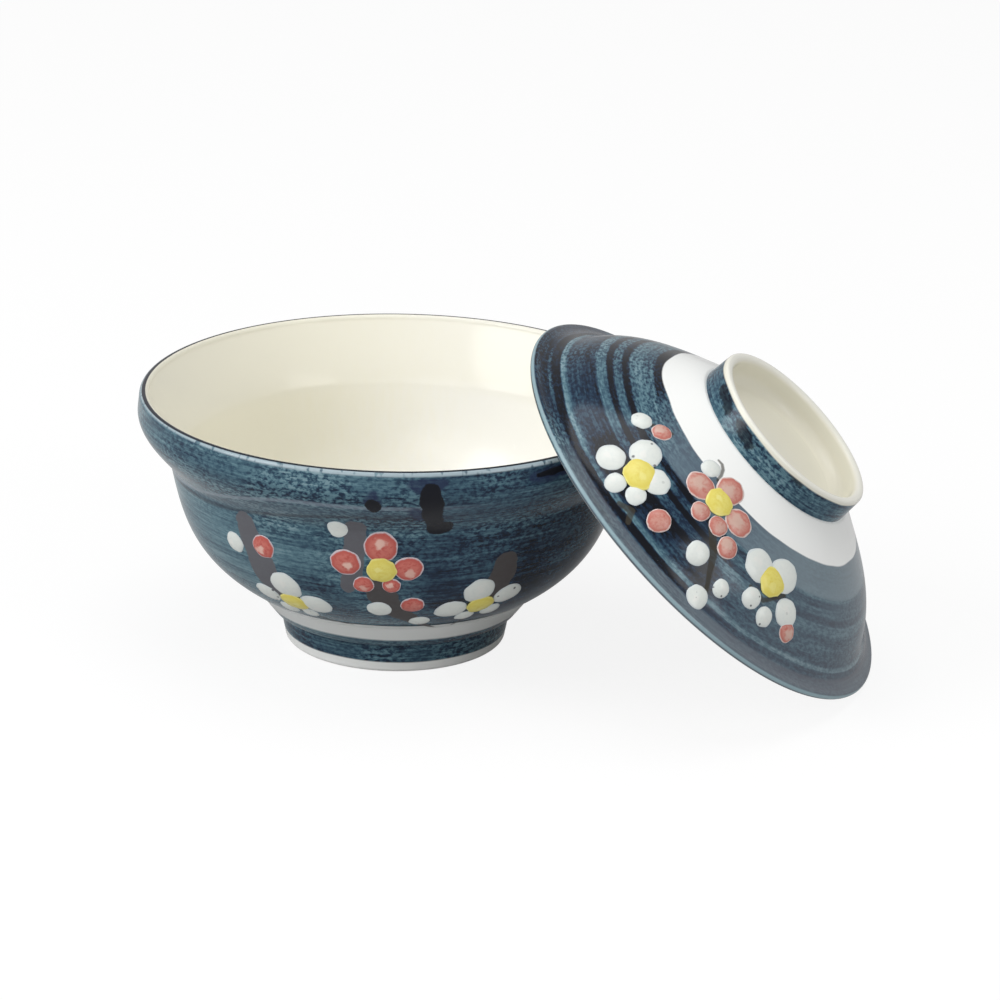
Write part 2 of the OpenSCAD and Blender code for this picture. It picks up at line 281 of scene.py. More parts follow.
# %% Read the lid's place from the record
MM = 0.001
mounts = {mount["name"]: mount for mount in frame["record"]["mounts"]}
lid_axis = Vector(mounts["grip_top"]["axis"]).normalized()
lid_place = Vector(mounts["grip_top"]["pos_m"]) - lid_axis * GRIP_TOP * MM
lid_turn = Vector((0.0, math.atan2(lid_axis.x, lid_axis.z), 0.0))
UPRIGHT = (Vector(), Vector())
LEANING = (lid_place, lid_turn)
print("lid origin:", [round(value / MM, 2) for value in lid_place], "mm")
print("lid tilt:", round(math.degrees(lid_turn.y), 2), "degrees")

# %% [markdown]
# ## A bench for nodes
# Node trees written in plain calls are long and hard to read. This small helper lays a node, feeds its
# inputs with values or with other nodes' outputs, and keeps the common sums to one line each. It serves the
# geometry trees and the materials alike. Further down, a span is where a change begins and ends, and then
# the values that it goes from and to, if they aren't 0 and 1. A fade's span has only the first of those two,
# because it ends at 0. A grain is a noise's scale, detail and roughness.

# %% A bench for nodes
class Bench:
    """Lays nodes on one tree and joins them."""

    def __init__(self, tree):
        self.tree = tree

    def feed(self, socket, value):
        if isinstance(value, bpy.types.NodeSocket):
            self.tree.links.new(value, socket)
        else:
            socket.default_value = value

    def lay(self, kind, feeds=None, **settings):
        node = self.tree.nodes.new(kind)
        for name, value in settings.items():
            setattr(node, name, value)
        for key, value in (feeds or {}).items():
            self.feed(node.inputs[key], value)
        return node

    def math(self, operation, *values, clamp=False):
        node = self.lay("ShaderNodeMath", dict(enumerate(values)), operation=operation, use_clamp=clamp)
        return node.outputs[0]

    def times(self, a, b):
        return self.math("MULTIPLY", a, b)

    def plus(self, a, b, clamp=False):
        return self.math("ADD", a, b, clamp=clamp)

    def minus(self, a, b, clamp=False):
        return self.math("SUBTRACT", a, b, clamp=clamp)

    def on_top(self, value, share, base):
        """The base with a share of the value on top."""
        return self.math("MULTIPLY_ADD", value, share, base)

    def vector(self, operation, *values):
        node = self.lay("ShaderNodeVectorMath", dict(enumerate(values)), operation=operation)
        single = operation in ("DOT_PRODUCT", "LENGTH", "DISTANCE")
        return node.outputs["Value" if single else "Vector"]

    def split(self, value):
        return self.lay("ShaderNodeSeparateXYZ", {0: value}).outputs

    def join(self, x, y, z):
        return self.lay("ShaderNodeCombineXYZ", {0: x, 1: y, 2: z}).outputs[0]

    def noise(self, place, scale=1.0, detail=2.0, roughness=0.5):
        feeds = {"Vector": place, "Scale": scale, "Detail": detail, "Roughness": roughness}
        return self.lay("ShaderNodeTexNoise", feeds).outputs[0]

    def uneven(self, place, *grain):
        """Noise that goes evenly below and above zero."""
        return self.minus(self.noise(place, *grain), 0.5)

    def cells(self, place, scale):
        """How far the nearest of many scattered points is."""
        feeds = {"Vector": place, "Scale": scale, "Randomness": 1.0}
        return self.lay("ShaderNodeTexVoronoi", feeds, feature="F1").outputs["Distance"]

    def step(self, value, low, high, start=0.0, end=1.0):
        """Goes smoothly from start to end while the value goes from low to high."""
        feeds = {"Value": value, "From Min": low, "From Max": high, "To Min": start, "To Max": end}
        return self.lay("ShaderNodeMapRange", feeds, interpolation_type="SMOOTHSTEP").outputs[0]

    def fade(self, value, low, high, start=1.0):
        """Goes smoothly from start to nothing while the value goes from low to high."""
        return self.step(value, low, high, start, 0.0)

    def over(self, under, colour, mask):
        """Lays one colour over another where the mask is 1."""
        return self.lay("ShaderNodeMix", {0: mask, 6: under, 7: colour}, data_type="RGBA").outputs[2]


# %% [markdown]
# ## A wheel in Geometry Nodes
# Blender's Screw modifier or Spin tool could turn a line too. A node tree is used because it can also write
# down, on every point, where it lies on the wheel: "turned" is the place in the piece's own upright axes and
# "along" is the length along the line, both in millimetres. The glaze follows those two attributes, so the
# leaning lid is painted as if it still stood on the wheel.

# %% Helpers for geometry trees
def geometry_tree(name, inputs):
    """A new tree with named inputs; gives the bench, the inputs by name and the output node."""
    tree = bpy.data.node_groups.new(name, "GeometryNodeTree")
    tree.is_modifier = True
    tree.interface.new_socket("Geometry", in_out="OUTPUT", socket_type="NodeSocketGeometry")
    tree.interface.new_socket("Geometry", in_out="INPUT", socket_type="NodeSocketGeometry")
    for label, kind in inputs.items():
        tree.interface.new_socket(label, in_out="INPUT", socket_type="NodeSocket" + kind)
    bench = Bench(tree)
    return bench, bench.lay("NodeGroupInput").outputs, bench.lay("NodeGroupOutput")


def profile_of(bench, given):
    """The profile curve that the tree was given."""
    return bench.lay("GeometryNodeObjectInfo", {"Object": given["Profile"]}).outputs["Geometry"]


def keep(bench, geometry, name, kind, value):
    """Stores a value on every point under a name."""
    feeds = {"Geometry": geometry, "Name": name, "Value": value}
    return bench.lay("GeometryNodeStoreNamedAttribute", feeds, data_type=kind, domain="POINT").outputs[0]


def swing_round(bench, geometry, radius, turn, level):
    """Moves every point to its radius, turn and level round the axis."""
    x = bench.times(radius, bench.math("COSINE", turn))
    y = bench.times(radius, bench.math("SINE", turn))
    feeds = {"Geometry": geometry, "Position": bench.join(x, y, level)}
    return bench.lay("GeometryNodeSetPosition", feeds).outputs[0]


def pose_and_dress(bench, geometry, given, end):
    """Shades the piece smooth, sets it in its pose as plain geometry and gives it its material."""
    smooth = bench.lay("GeometryNodeSetShadeSmooth", {"Geometry": geometry}).outputs[0]
    turn = bench.lay("FunctionNodeEulerToRotation", {0: given["Turn"]}).outputs[0]
    feeds = {"Geometry": smooth, "Translation": given["Place"], "Rotation": turn}
    posed = bench.lay("GeometryNodeTransform", feeds).outputs[0]
    plain = bench.lay("GeometryNodeRealizeInstances", {0: posed}).outputs[0]
    dressed = bench.lay("GeometryNodeSetMaterial", {"Geometry": plain, "Material": given["Material"]})
    bench.feed(end.inputs[0], dressed.outputs[0])


# %% The wheel
SEAM_GAP = 0.001 * MM


def make_wheel():
    inputs = {"Profile": "Object", "Columns": "Int",
              "Place": "Vector", "Turn": "Vector", "Material": "Material"}
    bench, given, end = geometry_tree("wheel", inputs)
    profile = profile_of(bench, given)
    domain = bench.lay("GeometryNodeAttributeDomainSize", {0: profile}, component="CURVE")
    count = domain.outputs["Point Count"]
    columns = bench.plus(given["Columns"], 1)
    feeds = {"Size X": 1.0, "Size Y": 1.0, "Vertices X": columns, "Vertices Y": count}
    sheet = bench.lay("GeometryNodeMeshGrid", feeds).outputs["Mesh"]
    position = bench.lay("GeometryNodeInputPosition").outputs[0]
    across, up, _ = bench.split(position)
    turn = bench.times(bench.plus(across, 0.5), 2 * math.pi)
    row = bench.math("ROUND", bench.times(bench.plus(up, 0.5), bench.minus(count, 1)))

    def at_row(value, kind):
        feeds = {"Geometry": profile, "Value": value, "Index": row}
        return bench.lay("GeometryNodeSampleIndex", feeds, data_type=kind).outputs[0]

    radius, _, level = bench.split(at_row(position, "FLOAT_VECTOR"))
    along = at_row(bench.lay("GeometryNodeSplineParameter").outputs["Length"], "FLOAT")
    sheet = keep(bench, sheet, "along", "FLOAT", bench.math("DIVIDE", along, MM))
    spun = swing_round(bench, sheet, radius, turn, level)
    closed = bench.lay("GeometryNodeMergeByDistance", {"Geometry": spun, "Distance": SEAM_GAP}).outputs[0]
    in_mm = bench.vector("DIVIDE", position, (MM, MM, MM))
    marked = keep(bench, closed, "turned", "FLOAT_VECTOR", in_mm)
    pose_and_dress(bench, marked, given, end)
    return bench.tree


wheel = make_wheel()
print("wheel:", len(wheel.nodes), "nodes")

# %% [markdown]
# ## Enamel dabs in Geometry Nodes
# The blossoms are thick drops of overglaze enamel, laid on with a loaded brush and melted into low domes.
# Each drop could be sculpted alone, but all of them are the same thing at another place and size. So one
# round blank is put on every point of a list, made a little uneven, bent round the glaze by walking along
# the same profile line, and raised off it. "dab_at" keeps each point's place on its own drop for the paint.

# %% The enamel brush
BLANK = {"Segments": 36, "Rings": 14, "Radius": 1.0}
SEED_APART = 3.7
OUTLINE_GRAIN = (1.4, 1.0)
DOME_ROUND = 1.6
UNDER_ROUND = 0.4


def make_enamel_brush():
    inputs = {"Profile": "Object", "Rise": "Float", "Lift": "Float", "Sink": "Float", "Uneven": "Float",
              "Place": "Vector", "Turn": "Vector", "Material": "Material"}
    bench, given, end = geometry_tree("enamel brush", inputs)

    def named(name, kind="FLOAT"):
        node = bench.lay("GeometryNodeInputNamedAttribute", {"Name": name}, data_type=kind)
        return node.outputs["Attribute"]

    ball = bench.lay("GeometryNodeMeshUVSphere", BLANK).outputs["Mesh"]
    position = bench.lay("GeometryNodeInputPosition").outputs[0]
    blank = keep(bench, ball, "blank", "FLOAT_VECTOR", position)
    feeds = {"Points": given["Geometry"], "Instance": blank}
    drops = bench.lay("GeometryNodeInstanceOnPoints", feeds).outputs[0]
    drops = bench.lay("GeometryNodeRealizeInstances", {0: drops}).outputs[0]
    x, y, z = bench.split(named("blank", "FLOAT_VECTOR"))
    size, seed = named("size"), named("seed")
    ragged = bench.uneven(bench.join(x, y, bench.times(seed, SEED_APART)), *OUTLINE_GRAIN)
    reach = bench.times(size, bench.plus(bench.times(ragged, given["Uneven"]), 1.0))
    longer = bench.times(x, named("stretch"))
    feeds = {"Vector": bench.join(longer, y, 0.0), "Angle": named("spin")}
    spun = bench.lay("ShaderNodeVectorRotate", feeds, rotation_type="Z_AXIS").outputs[0]
    spun_x, spun_y, _ = bench.split(spun)
    across, up = bench.times(spun_x, reach), bench.times(spun_y, reach)
    dome_share = bench.math("POWER", bench.math("MAXIMUM", z, 0.0), DOME_ROUND)
    under_share = bench.math("POWER", bench.math("MAXIMUM", bench.times(z, -1.0), 0.0), UNDER_ROUND)
    drop = bench.times(under_share, bench.plus(given["Sink"], given["Lift"]))
    height = bench.on_top(dome_share, given["Rise"], bench.minus(given["Lift"], drop))
    feeds = {"Curves": profile_of(bench, given), "Length": bench.plus(named("along"), up)}
    walked = bench.lay("GeometryNodeSampleCurve", feeds, mode="LENGTH", use_all_curves=True).outputs
    radius, _, level = bench.split(walked["Position"])
    tilt_out, _, tilt_up = bench.split(walked["Tangent"])
    turn = bench.plus(named("turn"), bench.math("DIVIDE", across, radius))
    radius = bench.on_top(height, tilt_up, radius)
    level = bench.minus(level, bench.times(height, tilt_out))
    laid = swing_round(bench, drops, radius, turn, level)
    marked = keep(bench, laid, "dab_at", "FLOAT_VECTOR", bench.join(x, y, seed))
    pose_and_dress(bench, marked, given, end)
    return bench.tree


enamel_brush = make_enamel_brush()
print("enamel brush:", len(enamel_brush.nodes), "nodes")

# %% [markdown]
# ## Shader groups for the finishes
# The same few effects come back on every surface: brushed cobalt, the wavering edge where a glaze stops, a
# brush mark, the skin of the glaze. Each is a node group, built once and set with its own values in each
# material. A group gives out colours, masks and heights; the shader itself stays in the material.

# %% Helpers for shader groups
def linear(red, green, blue):
    """A colour as seen on a screen, 0 to 255, as the linear colour that a shader takes."""
    def one(value):
        share = value / 255
        return share / 12.92 if share <= 0.04045 else ((share + 0.055) / 1.055) ** 2.4
    return (one(red), one(green), one(blue), 1.0)


def shader_group(name, inputs, outputs):
    """A new shader group; gives its bench, its inputs by name and a function that sets its outputs."""
    tree = bpy.data.node_groups.new(name, "ShaderNodeTree")
    for label, kind in inputs.items():
        tree.interface.new_socket(label, in_out="INPUT", socket_type="NodeSocket" + kind)
    for label, kind in outputs.items():
        tree.interface.new_socket(label, in_out="OUTPUT", socket_type="NodeSocket" + kind)
    bench = Bench(tree)
    given = bench.lay("NodeGroupInput").outputs
    end = bench.lay("NodeGroupOutput")

    def give(**results):
        for label, value in results.items():
            bench.feed(end.inputs[label], value)
    return bench, given, give


def use(bench, group, **feeds):
    """Places a shader group and feeds its inputs; an underscore in a name stands for a space."""
    node = bench.lay("ShaderNodeGroup", node_tree=group)
    for label, value in feeds.items():
        bench.feed(node.inputs[label.replace("_", " ")], value)
    return node.outputs


# %% [markdown]
# ### Brushed cobalt
# Cobalt slip is laid on with a wide brush while the pot turns. It dries in long streaks and broad bands,
# and in the kiln it breaks into a fine dark mottle. A picture of brushwork could be wrapped round the pot,
# but noise has no seam and no end. Noise stretched round the pot gives the streaks and bands, and finer,
# nearly even noise gives the mottle, which is stronger in some patches. Their sum is how thick the cobalt
# lies, and a ramp turns that thickness into colour: thin cobalt is a pale grey blue, thick cobalt is nearly
# black.

# %% The brushed cobalt group
# Each brushing is its scale round the pot and across the brush, per millimetre, its detail and roughness.
STREAK = (0.05, 1.3, 3.0, 0.65)
BAND = (0.02, 0.24, 2.0, 0.5)
MOTTLE = (0.6, 1.05, 2.0, 0.6)
MOTTLE_SPAN = (-0.12, 0.14, -0.5, 0.5)
PATCH_GRAIN = (0.05, 1.0)
PATCH_SPAN = (0.35, 0.65, 0.4, 1.0)
COBALT_STEPS = [(0.0, (136, 161, 170)), (0.26, (91, 124, 136)), (0.5, (57, 87, 104)),
                (0.74, (23, 43, 66)), (1.0, (6, 10, 20))]


def set_stops(ramp, wanted):
    """Gives a colour ramp its stops, in order."""
    stops = ramp.color_ramp.elements
    for _ in range(len(wanted) - len(stops)):
        stops.new(1.0)
    for stop, (at, colour) in zip(stops, wanted):
        stop.position = at
        stop.color = colour


def make_brushed_cobalt():
    inputs = {"Place": "Vector", "Along": "Float", "Depth": "Float", "Streaks": "Float", "Bands": "Float",
              "Mottle": "Float"}
    bench, given, give = shader_group("brushed cobalt", inputs, {"Colour": "Color"})
    x, y, _ = bench.split(given["Place"])

    def brushed(round_share, across_share, detail, roughness):
        across = bench.times(given["Along"], across_share)
        place = bench.join(bench.times(x, round_share), bench.times(y, round_share), across)
        return bench.uneven(place, 1.0, detail, roughness)

    streaks = bench.times(brushed(*STREAK), given["Streaks"])
    bands = bench.times(brushed(*BAND), given["Bands"])
    mottle = bench.step(brushed(*MOTTLE), *MOTTLE_SPAN)
    patch = bench.step(bench.noise(given["Place"], *PATCH_GRAIN), *PATCH_SPAN)
    mottle = bench.times(bench.times(mottle, patch), given["Mottle"])
    brushwork = bench.plus(streaks, bands)
    thickness = bench.plus(brushwork, bench.plus(mottle, given["Depth"]), clamp=True)
    ramp = bench.lay("ShaderNodeValToRGB", {0: thickness})
    set_stops(ramp, [(at, linear(*colour)) for at, colour in COBALT_STEPS])
    give(Colour=ramp.outputs[0])
    return bench.tree


brushed_cobalt = make_brushed_cobalt()
print("brushed cobalt:", len(brushed_cobalt.nodes), "nodes")

# %% [markdown]
# ### Edges, brush marks and the skin of the glaze
# Where the brush stopped, the cobalt's edge wavers and the slip pools in a thin dark line. A branch or a
# drip is one brush mark from a point to a point, with a width at each end. It is measured in space and not
# on a flat map, so it has no seam. The skin is what no pot escapes: faint waves and a few pinholes.

# %% The edge, mark and skin groups
EDGE_GRAIN = (0.04, 1.5)
EDGE_LINE_WIDTH = 2.5
ROUGH_SHARE = 0.2
SKIN_GRAIN = (0.16, 2.0)
PINHOLE_SCALE = 0.22
PINHOLE_SPAN = (0.03, 0.07)


def make_glaze_edge():
    inputs = {"Place": "Vector", "Along": "Float", "Edge": "Float", "Waver": "Float", "Blur": "Float"}
    bench, given, give = shader_group("glaze edge", inputs, {"Past": "Float", "Line": "Float"})
    gap = bench.minus(given["Along"], given["Edge"])
    gap = bench.on_top(bench.uneven(given["Place"], *EDGE_GRAIN), given["Waver"], gap)
    blur = given["Blur"]
    past = bench.step(gap, bench.times(blur, -1.0), blur)
    line_gap = bench.math("ABSOLUTE", bench.minus(gap, blur))
    give(Past=past, Line=bench.fade(line_gap, 0.0, bench.times(blur, EDGE_LINE_WIDTH)))
    return bench.tree


def make_brush_mark():
    inputs = {"Place": "Vector", "From": "Vector", "To": "Vector",
              "Width From": "Float", "Width To": "Float", "Ragged": "Float", "Blur": "Float"}
    bench, given, give = shader_group("brush mark", inputs, {"Mask": "Float"})
    way = bench.vector("SUBTRACT", given["To"], given["From"])
    off = bench.vector("SUBTRACT", given["Place"], given["From"])
    reached = bench.vector("DOT_PRODUCT", off, way)
    share = bench.math("DIVIDE", reached, bench.vector("DOT_PRODUCT", way, way), clamp=True)
    nearest = bench.lay("ShaderNodeVectorMath", {0: way, "Scale": share}, operation="SCALE").outputs[0]
    gap = bench.vector("DISTANCE", off, nearest)
    spread = bench.minus(given["Width To"], given["Width From"])
    width = bench.on_top(spread, share, given["Width From"])
    rough = bench.times(given["Ragged"], bench.math("MINIMUM", bench.times(width, ROUGH_SHARE), 1.0))
    inside = bench.minus(bench.times(width, 0.5), bench.plus(gap, rough))
    give(Mask=bench.step(inside, bench.times(given["Blur"], -1.0), given["Blur"]))
    return bench.tree


def make_glaze_skin():
    bench, given, give = shader_group("glaze skin", {"Place": "Vector"}, {"Height": "Float"})
    waves = bench.noise(given["Place"], *SKIN_GRAIN)
    pinholes = bench.fade(bench.cells(given["Place"], PINHOLE_SCALE), *PINHOLE_SPAN)
    give(Height=bench.minus(waves, pinholes))
    return bench.tree


glaze_edge, brush_mark, glaze_skin = make_glaze_edge(), make_brush_mark(), make_glaze_skin()
print("groups:", [group.name for group in bpy.data.node_groups])

# %% [markdown]
# ## The bowl's glaze
# From the foot up: a white cove, greyed as painted shade, the cobalt ground with its dark edge, a pale line
# under the lip where the glaze ran thin and a painted highlight lies, a dark line on the lip, and cream
# inside, darker and yellower on the left as painted shade. Each change is a station along the profile, so it
# needs no mask painted by hand. The ground is paler on the left as painted light and darker on the right as
# painted shade.
# Over the ground lie soft washes of deeper cobalt, the branches as matt iron brush marks, and the runs and
# drips where the glaze slid down from the lip.

# %% Helpers for a glazed surface
WHITE_GLAZE = linear(247, 248, 246)
# The cove's white is greyer than the rest: painted shade on the low cove.
COVE_SHADED_WHITE = linear(233, 235, 233)
CREAM_GLAZE = linear(242, 241, 236)
# The cream inside is darker and yellower on the left as painted shade.
SHADED_CREAM = linear(239, 235, 216)
COBALT_POOL = linear(10, 13, 24)
GLAZE_ROUGH = 0.16
GLAZE_SHINE = 0.24
SKIN_STRENGTH = 0.15
BUMP_HEIGHT = 0.2 * MM
MARK_BLUR = 0.25
RAGGED_DETAIL = 3.0
WASH_RAGGED = 3.0


def new_finish(name, roughness=GLAZE_ROUGH, specular=GLAZE_SHINE):
    """A material with a plain shader; gives the material, its bench and the shader's inputs."""
    material = bpy.data.materials.new(name)
    material.use_nodes = True
    bench = Bench(material.node_tree)
    shader = material.node_tree.nodes["Principled BSDF"].inputs
    shader["Roughness"].default_value = roughness
    shader["Specular IOR Level"].default_value = specular
    return material, bench, shader


def stored(bench, name, output):
    return bench.lay("ShaderNodeAttribute", attribute_name=name).outputs[output]


def on_the_wheel(bench):
    """A point's place and length along the line, named as the shader groups take them."""
    return {"Place": stored(bench, "turned", "Vector"), "Along": stored(bench, "along", "Fac")}


def front_of(bench, place):
    """Turns the back half of the pot to the front, so that one list of marks paints both sides."""
    side = bench.math("LESS_THAN", bench.split(place)[1], 0.0)
    side = bench.on_top(side, 2.0, -1.0)
    return bench.vector("MULTIPLY", place, bench.join(side, side, 1.0))


def ragged_edge(bench, place, scale, reach):
    """How far the edge of a mark strays, in millimetres."""
    return bench.times(bench.uneven(place, scale, RAGGED_DETAIL), reach)


def marks(bench, place, ragged, strokes, on_glaze, blur=MARK_BLUR):
    """One mask for a list of strokes, each a list of (turn, station, width)."""
    mask = 0.0
    for stroke in strokes:
        for (turn_a, at_a, wide_a), (turn_b, at_b, wide_b) in zip(stroke, stroke[1:]):
            ends = {"From": on_glaze(turn_a, at_a), "To": on_glaze(turn_b, at_b)}
            mark = use(bench, brush_mark, Place=place, **ends, Width_From=wide_a, Width_To=wide_b,
                       Ragged=ragged, Blur=blur)["Mask"]
            mask = bench.math("MAXIMUM", mask, mark)
    return mask


def raise_skin(bench, shader, height, strength):
    """Bumps the surface by a height."""
    bump = bench.lay("ShaderNodeBump", {"Height": height, "Strength": strength, "Distance": BUMP_HEIGHT})
    bench.feed(shader["Normal"], bump.outputs[0])


def finish_glaze(bench, shader, place, colour):
    """Gives the shader its colour and the skin of the glaze."""
    bench.feed(shader["Base Color"], colour)
    raise_skin(bench, shader, use(bench, glaze_skin, Place=place)["Height"], SKIN_STRENGTH)


# %% Where the bowl's marks lie
COVE_LEVEL = 12.8
GROUND_LEVEL = 20.5


def polar(turn, radius, level):
    """The place at a turn in degrees, a radius and a level."""
    return (radius * math.cos(math.radians(turn)), radius * math.sin(math.radians(turn)), level)


def bowl_spot(level):
    """The (length along, radius, level) on the bowl's outside."""
    return crossings(bowl_line, 1, level)[0]


def on_bowl(turn, level):
    return polar(turn, bowl_spot(level)[1], level)


foot_edge = bowl_spot(COVE_LEVEL)[0]
ground_edge = bowl_spot(GROUND_LEVEL)[0]
lip_outer = bowl_spot(lip_centre[1])[0]
lip_inner = crossings(bowl_line, 1, lip_centre[1])[-1][0]
lip_top = (lip_outer + lip_inner) / 2
print("bowl stations:", round(ground_edge, 1), round(lip_outer, 1), round(lip_inner, 1))

# %% The bowl's brush marks
GREY_BRANCHES = [
    [(-116.8, 55, 7), (-115.8, 50, 8.6), (-114, 42.5, 10), (-113, 36, 10), (-108.5, 30, 8)],
    [(-86, 60, 6.4), (-87, 49, 6.4), (-87.5, 43, 6.4), (-89, 38.5, 4.5)],
]
DARK_BRANCHES = [
    [(-82, 41, 5), (-80, 36, 9), (-77, 30, 7.5), (-71, 25, 5), (-65, 20.5, 1.6), (-61.5, 18.8, 0.8)],
    [(-47, 45, 8), (-47, 41.5, 8.6), (-48, 37, 9), (-51, 31, 5), (-52.5, 24, 1.4), (-55, 19.3, 0.8)],
    [(-108, 24, 1.6), (-103, 22.4, 1.2), (-98, 21, 1), (-92, 20, 0.8)],
]
BOWL_WASHES = [
    [(-66, 43, 10), (-61, 33, 14)],
    [(-99, 36, 10), (-94, 28, 14)],
    [(-76, 52, 6), (-72, 47, 8)],
    [(-40, 44, 10), (-36, 34, 12)],
]
RUNS = [
    [(-81.3, 73.2, 2.6), (-81.4, 70.5, 5)],
    [(-73, 76.8, 3), (-70, 75.4, 6.5), (-66.5, 76.8, 3)],
    [(-72, 67, 4.6), (-71, 65.4, 4.6)],
    [(-46, 75.6, 3), (-42, 75.4, 4.4), (-37, 76.4, 3.4)],
    [(36, 77, 3), (39, 74.6, 6), (42, 76.8, 3)],
    [(137, 77, 2.6), (142, 75.2, 5), (146, 76.8, 2.6)],
]
DRIPS = [
    [(-81.6, 70.4, 3), (-81.4, 69.4, 4.8), (-81.2, 69, 4.8)],
    [(-69.2, 73.6, 6.4), (-68.8, 70.5, 6.8), (-68.5, 67, 6.6), (-67.6, 62.5, 5)],
    [(-68, 61.6, 3.6), (-64.4, 61.2, 3.6)],
    [(-67, 60.4, 6), (-65.4, 60.2, 6)],
    [(-45, 76, 1.4), (-41, 76.3, 2.2), (-37, 76.9, 1.8)],
    [(38.6, 74, 4), (39, 70, 5), (39.3, 66.5, 4.4)],
    [(142, 75, 2.6), (142.4, 72.4, 3.4)],
]
print("bowl strokes:", len(GREY_BRANCHES + DARK_BRANCHES + BOWL_WASHES + RUNS + DRIPS))

# %% [markdown]
# ### The lines under the collar
# Under the collar lie a dark line, a smooth grey and a pale line, which lie together at the waist on the
# left and part as they rise to the right. The smooth grey is a painted reflection on the collar's underside,
# and the pale line is a painted highlight where the collar bends. They could be long brush marks with many
# points. Two levels that change across the pot are simpler, and draw all three.

# %% The lines under the collar
# The smooth grey is a painted reflection on the collar's underside, and the pale line is a painted
# highlight.
UNDERSIDE_REFLECTION_GREY = linear(76, 95, 110)
CLIMB_DARK = linear(38, 40, 54)
CLIMB_HIGHLIGHT = linear(138, 150, 164)
DARK_CLIMB = (-50.0, 10.0, 57.0, 64.4)
HIGHLIGHT_CLIMB = (-68.0, -8.0, 57.2, 68.5)
CLIMB_FADE = (10.0, 50.0, 0.6)
SMOOTH_SPAN = (0.0, 1.5)
SMOOTH_SHARE = 0.8
DARK_LINE = (0.2, 1.2)
HIGHLIGHT_LINE = (0.2, 1.1)


def under_collar(bench, colour, x, level):
    """Lays the dark line, the smooth grey of painted reflection and the pale line of painted highlight over
    the ground.
    """
    dark_level, highlight_level = bench.step(x, *DARK_CLIMB), bench.step(x, *HIGHLIGHT_CLIMB)
    strength = bench.fade(x, *CLIMB_FADE)

    def near(line_level, span):
        gap = bench.math("ABSOLUTE", bench.minus(level, line_level))
        return bench.times(bench.fade(gap, *span), strength)

    over_dark = bench.step(bench.minus(level, dark_level), *SMOOTH_SPAN)
    under_highlight = bench.step(bench.minus(highlight_level, level), *SMOOTH_SPAN)
    smooth = bench.times(bench.times(over_dark, under_highlight), strength)
    colour = bench.over(colour, UNDERSIDE_REFLECTION_GREY, bench.times(smooth, SMOOTH_SHARE))
    colour = bench.over(colour, CLIMB_DARK, near(dark_level, DARK_LINE))
    return bench.over(colour, CLIMB_HIGHLIGHT, near(highlight_level, HIGHLIGHT_LINE))


# %% The lip and the inside
# The pale line under the lip is thin glaze with a painted highlight on it.
THIN_GLAZE_AND_HIGHLIGHT = linear(168, 184, 191)
LIP_LINE = linear(18, 25, 38)
FLARE_CREAM = linear(230, 227, 212)
TICK_GRAIN = (0.5, 1.0)
TICK_SPAN = (0.32, 0.44, 0.15, 0.9)
TICK_SWAY = 20.0
HIGHLIGHT_WIDENING = (-62.0, -20.0, 0.8, 0.1)
THIN_SPAN = (lip_outer - 0.2, lip_outer + 0.5)
LIP_LINE_SPAN = (lip_top - 0.95, lip_top - 0.65)
INSIDE_SPAN = (lip_top + 0.25, lip_top + 0.55)
CREAM_LIT_SPAN = (-45.0, 30.0)
FLARE_SPAN = (57.0, 64.0, 0.0, 0.6)


def over_the_lip(bench, colour, place, along):
    """Lays the thin glaze and painted highlight under the lip, the dark line on it, and the cream inside
    with painted shade on its left.
    """
    x, y, level = bench.split(place)
    ticks = bench.noise(bench.join(x, y, 0.0), *TICK_GRAIN)
    # Painted highlight: the pale line under the lip reaches further down on the left.
    widened = bench.minus(along, bench.step(x, *HIGHLIGHT_WIDENING))
    thin = bench.times(bench.step(widened, *THIN_SPAN), bench.step(ticks, *TICK_SPAN))
    colour = bench.over(colour, THIN_GLAZE_AND_HIGHLIGHT, thin)
    colour = bench.over(colour, LIP_LINE, bench.step(along, *LIP_LINE_SPAN))
    # Painted shade: the cream is darker and yellower on the left and lighter on the right.
    lighter = bench.step(bench.on_top(ticks, TICK_SWAY, x), *CREAM_LIT_SPAN)
    cream = bench.over(SHADED_CREAM, CREAM_GLAZE, lighter)
    cream = bench.over(cream, FLARE_CREAM, bench.step(level, *FLARE_SPAN))
    return bench.over(colour, cream, bench.step(along, *INSIDE_SPAN))


# %% The bowl's glaze
IRON_GREY = linear(98, 97, 102)
IRON_DARK = linear(78, 73, 72)
IRON_SHARE = 0.94
IRON_ROUGH = 0.5
COBALT_RUN = linear(34, 44, 74)
RUN_SHARE = 0.75
EDGE_SHARE = 0.9
BOWL_RAGGED = (0.35, 1.8)
RUN_RAGGED = 1.6
RUN_BLUR = 0.7
BOWL_WASH_BLUR = 4.0
BOWL_WASH_DEPTH = 0.16
# The ground's cobalt is thinner on the left as painted light and deeper on the right as painted shade.
LIT_LEFT_DEPTH = (54.0, 66.0, 0.33, 0.42)
SHADED_RIGHT_DEPTH = (54.0, 66.0, 0.7, 0.58)
LIT_TO_SHADED = (-35.0, 60.0)
MOTTLE_BY_LEVEL = (50.0, 64.0, 0.3, 0.52)
MOTTLE_BY_SIDE = (-65.0, -15.0, 0.6, 1.0)


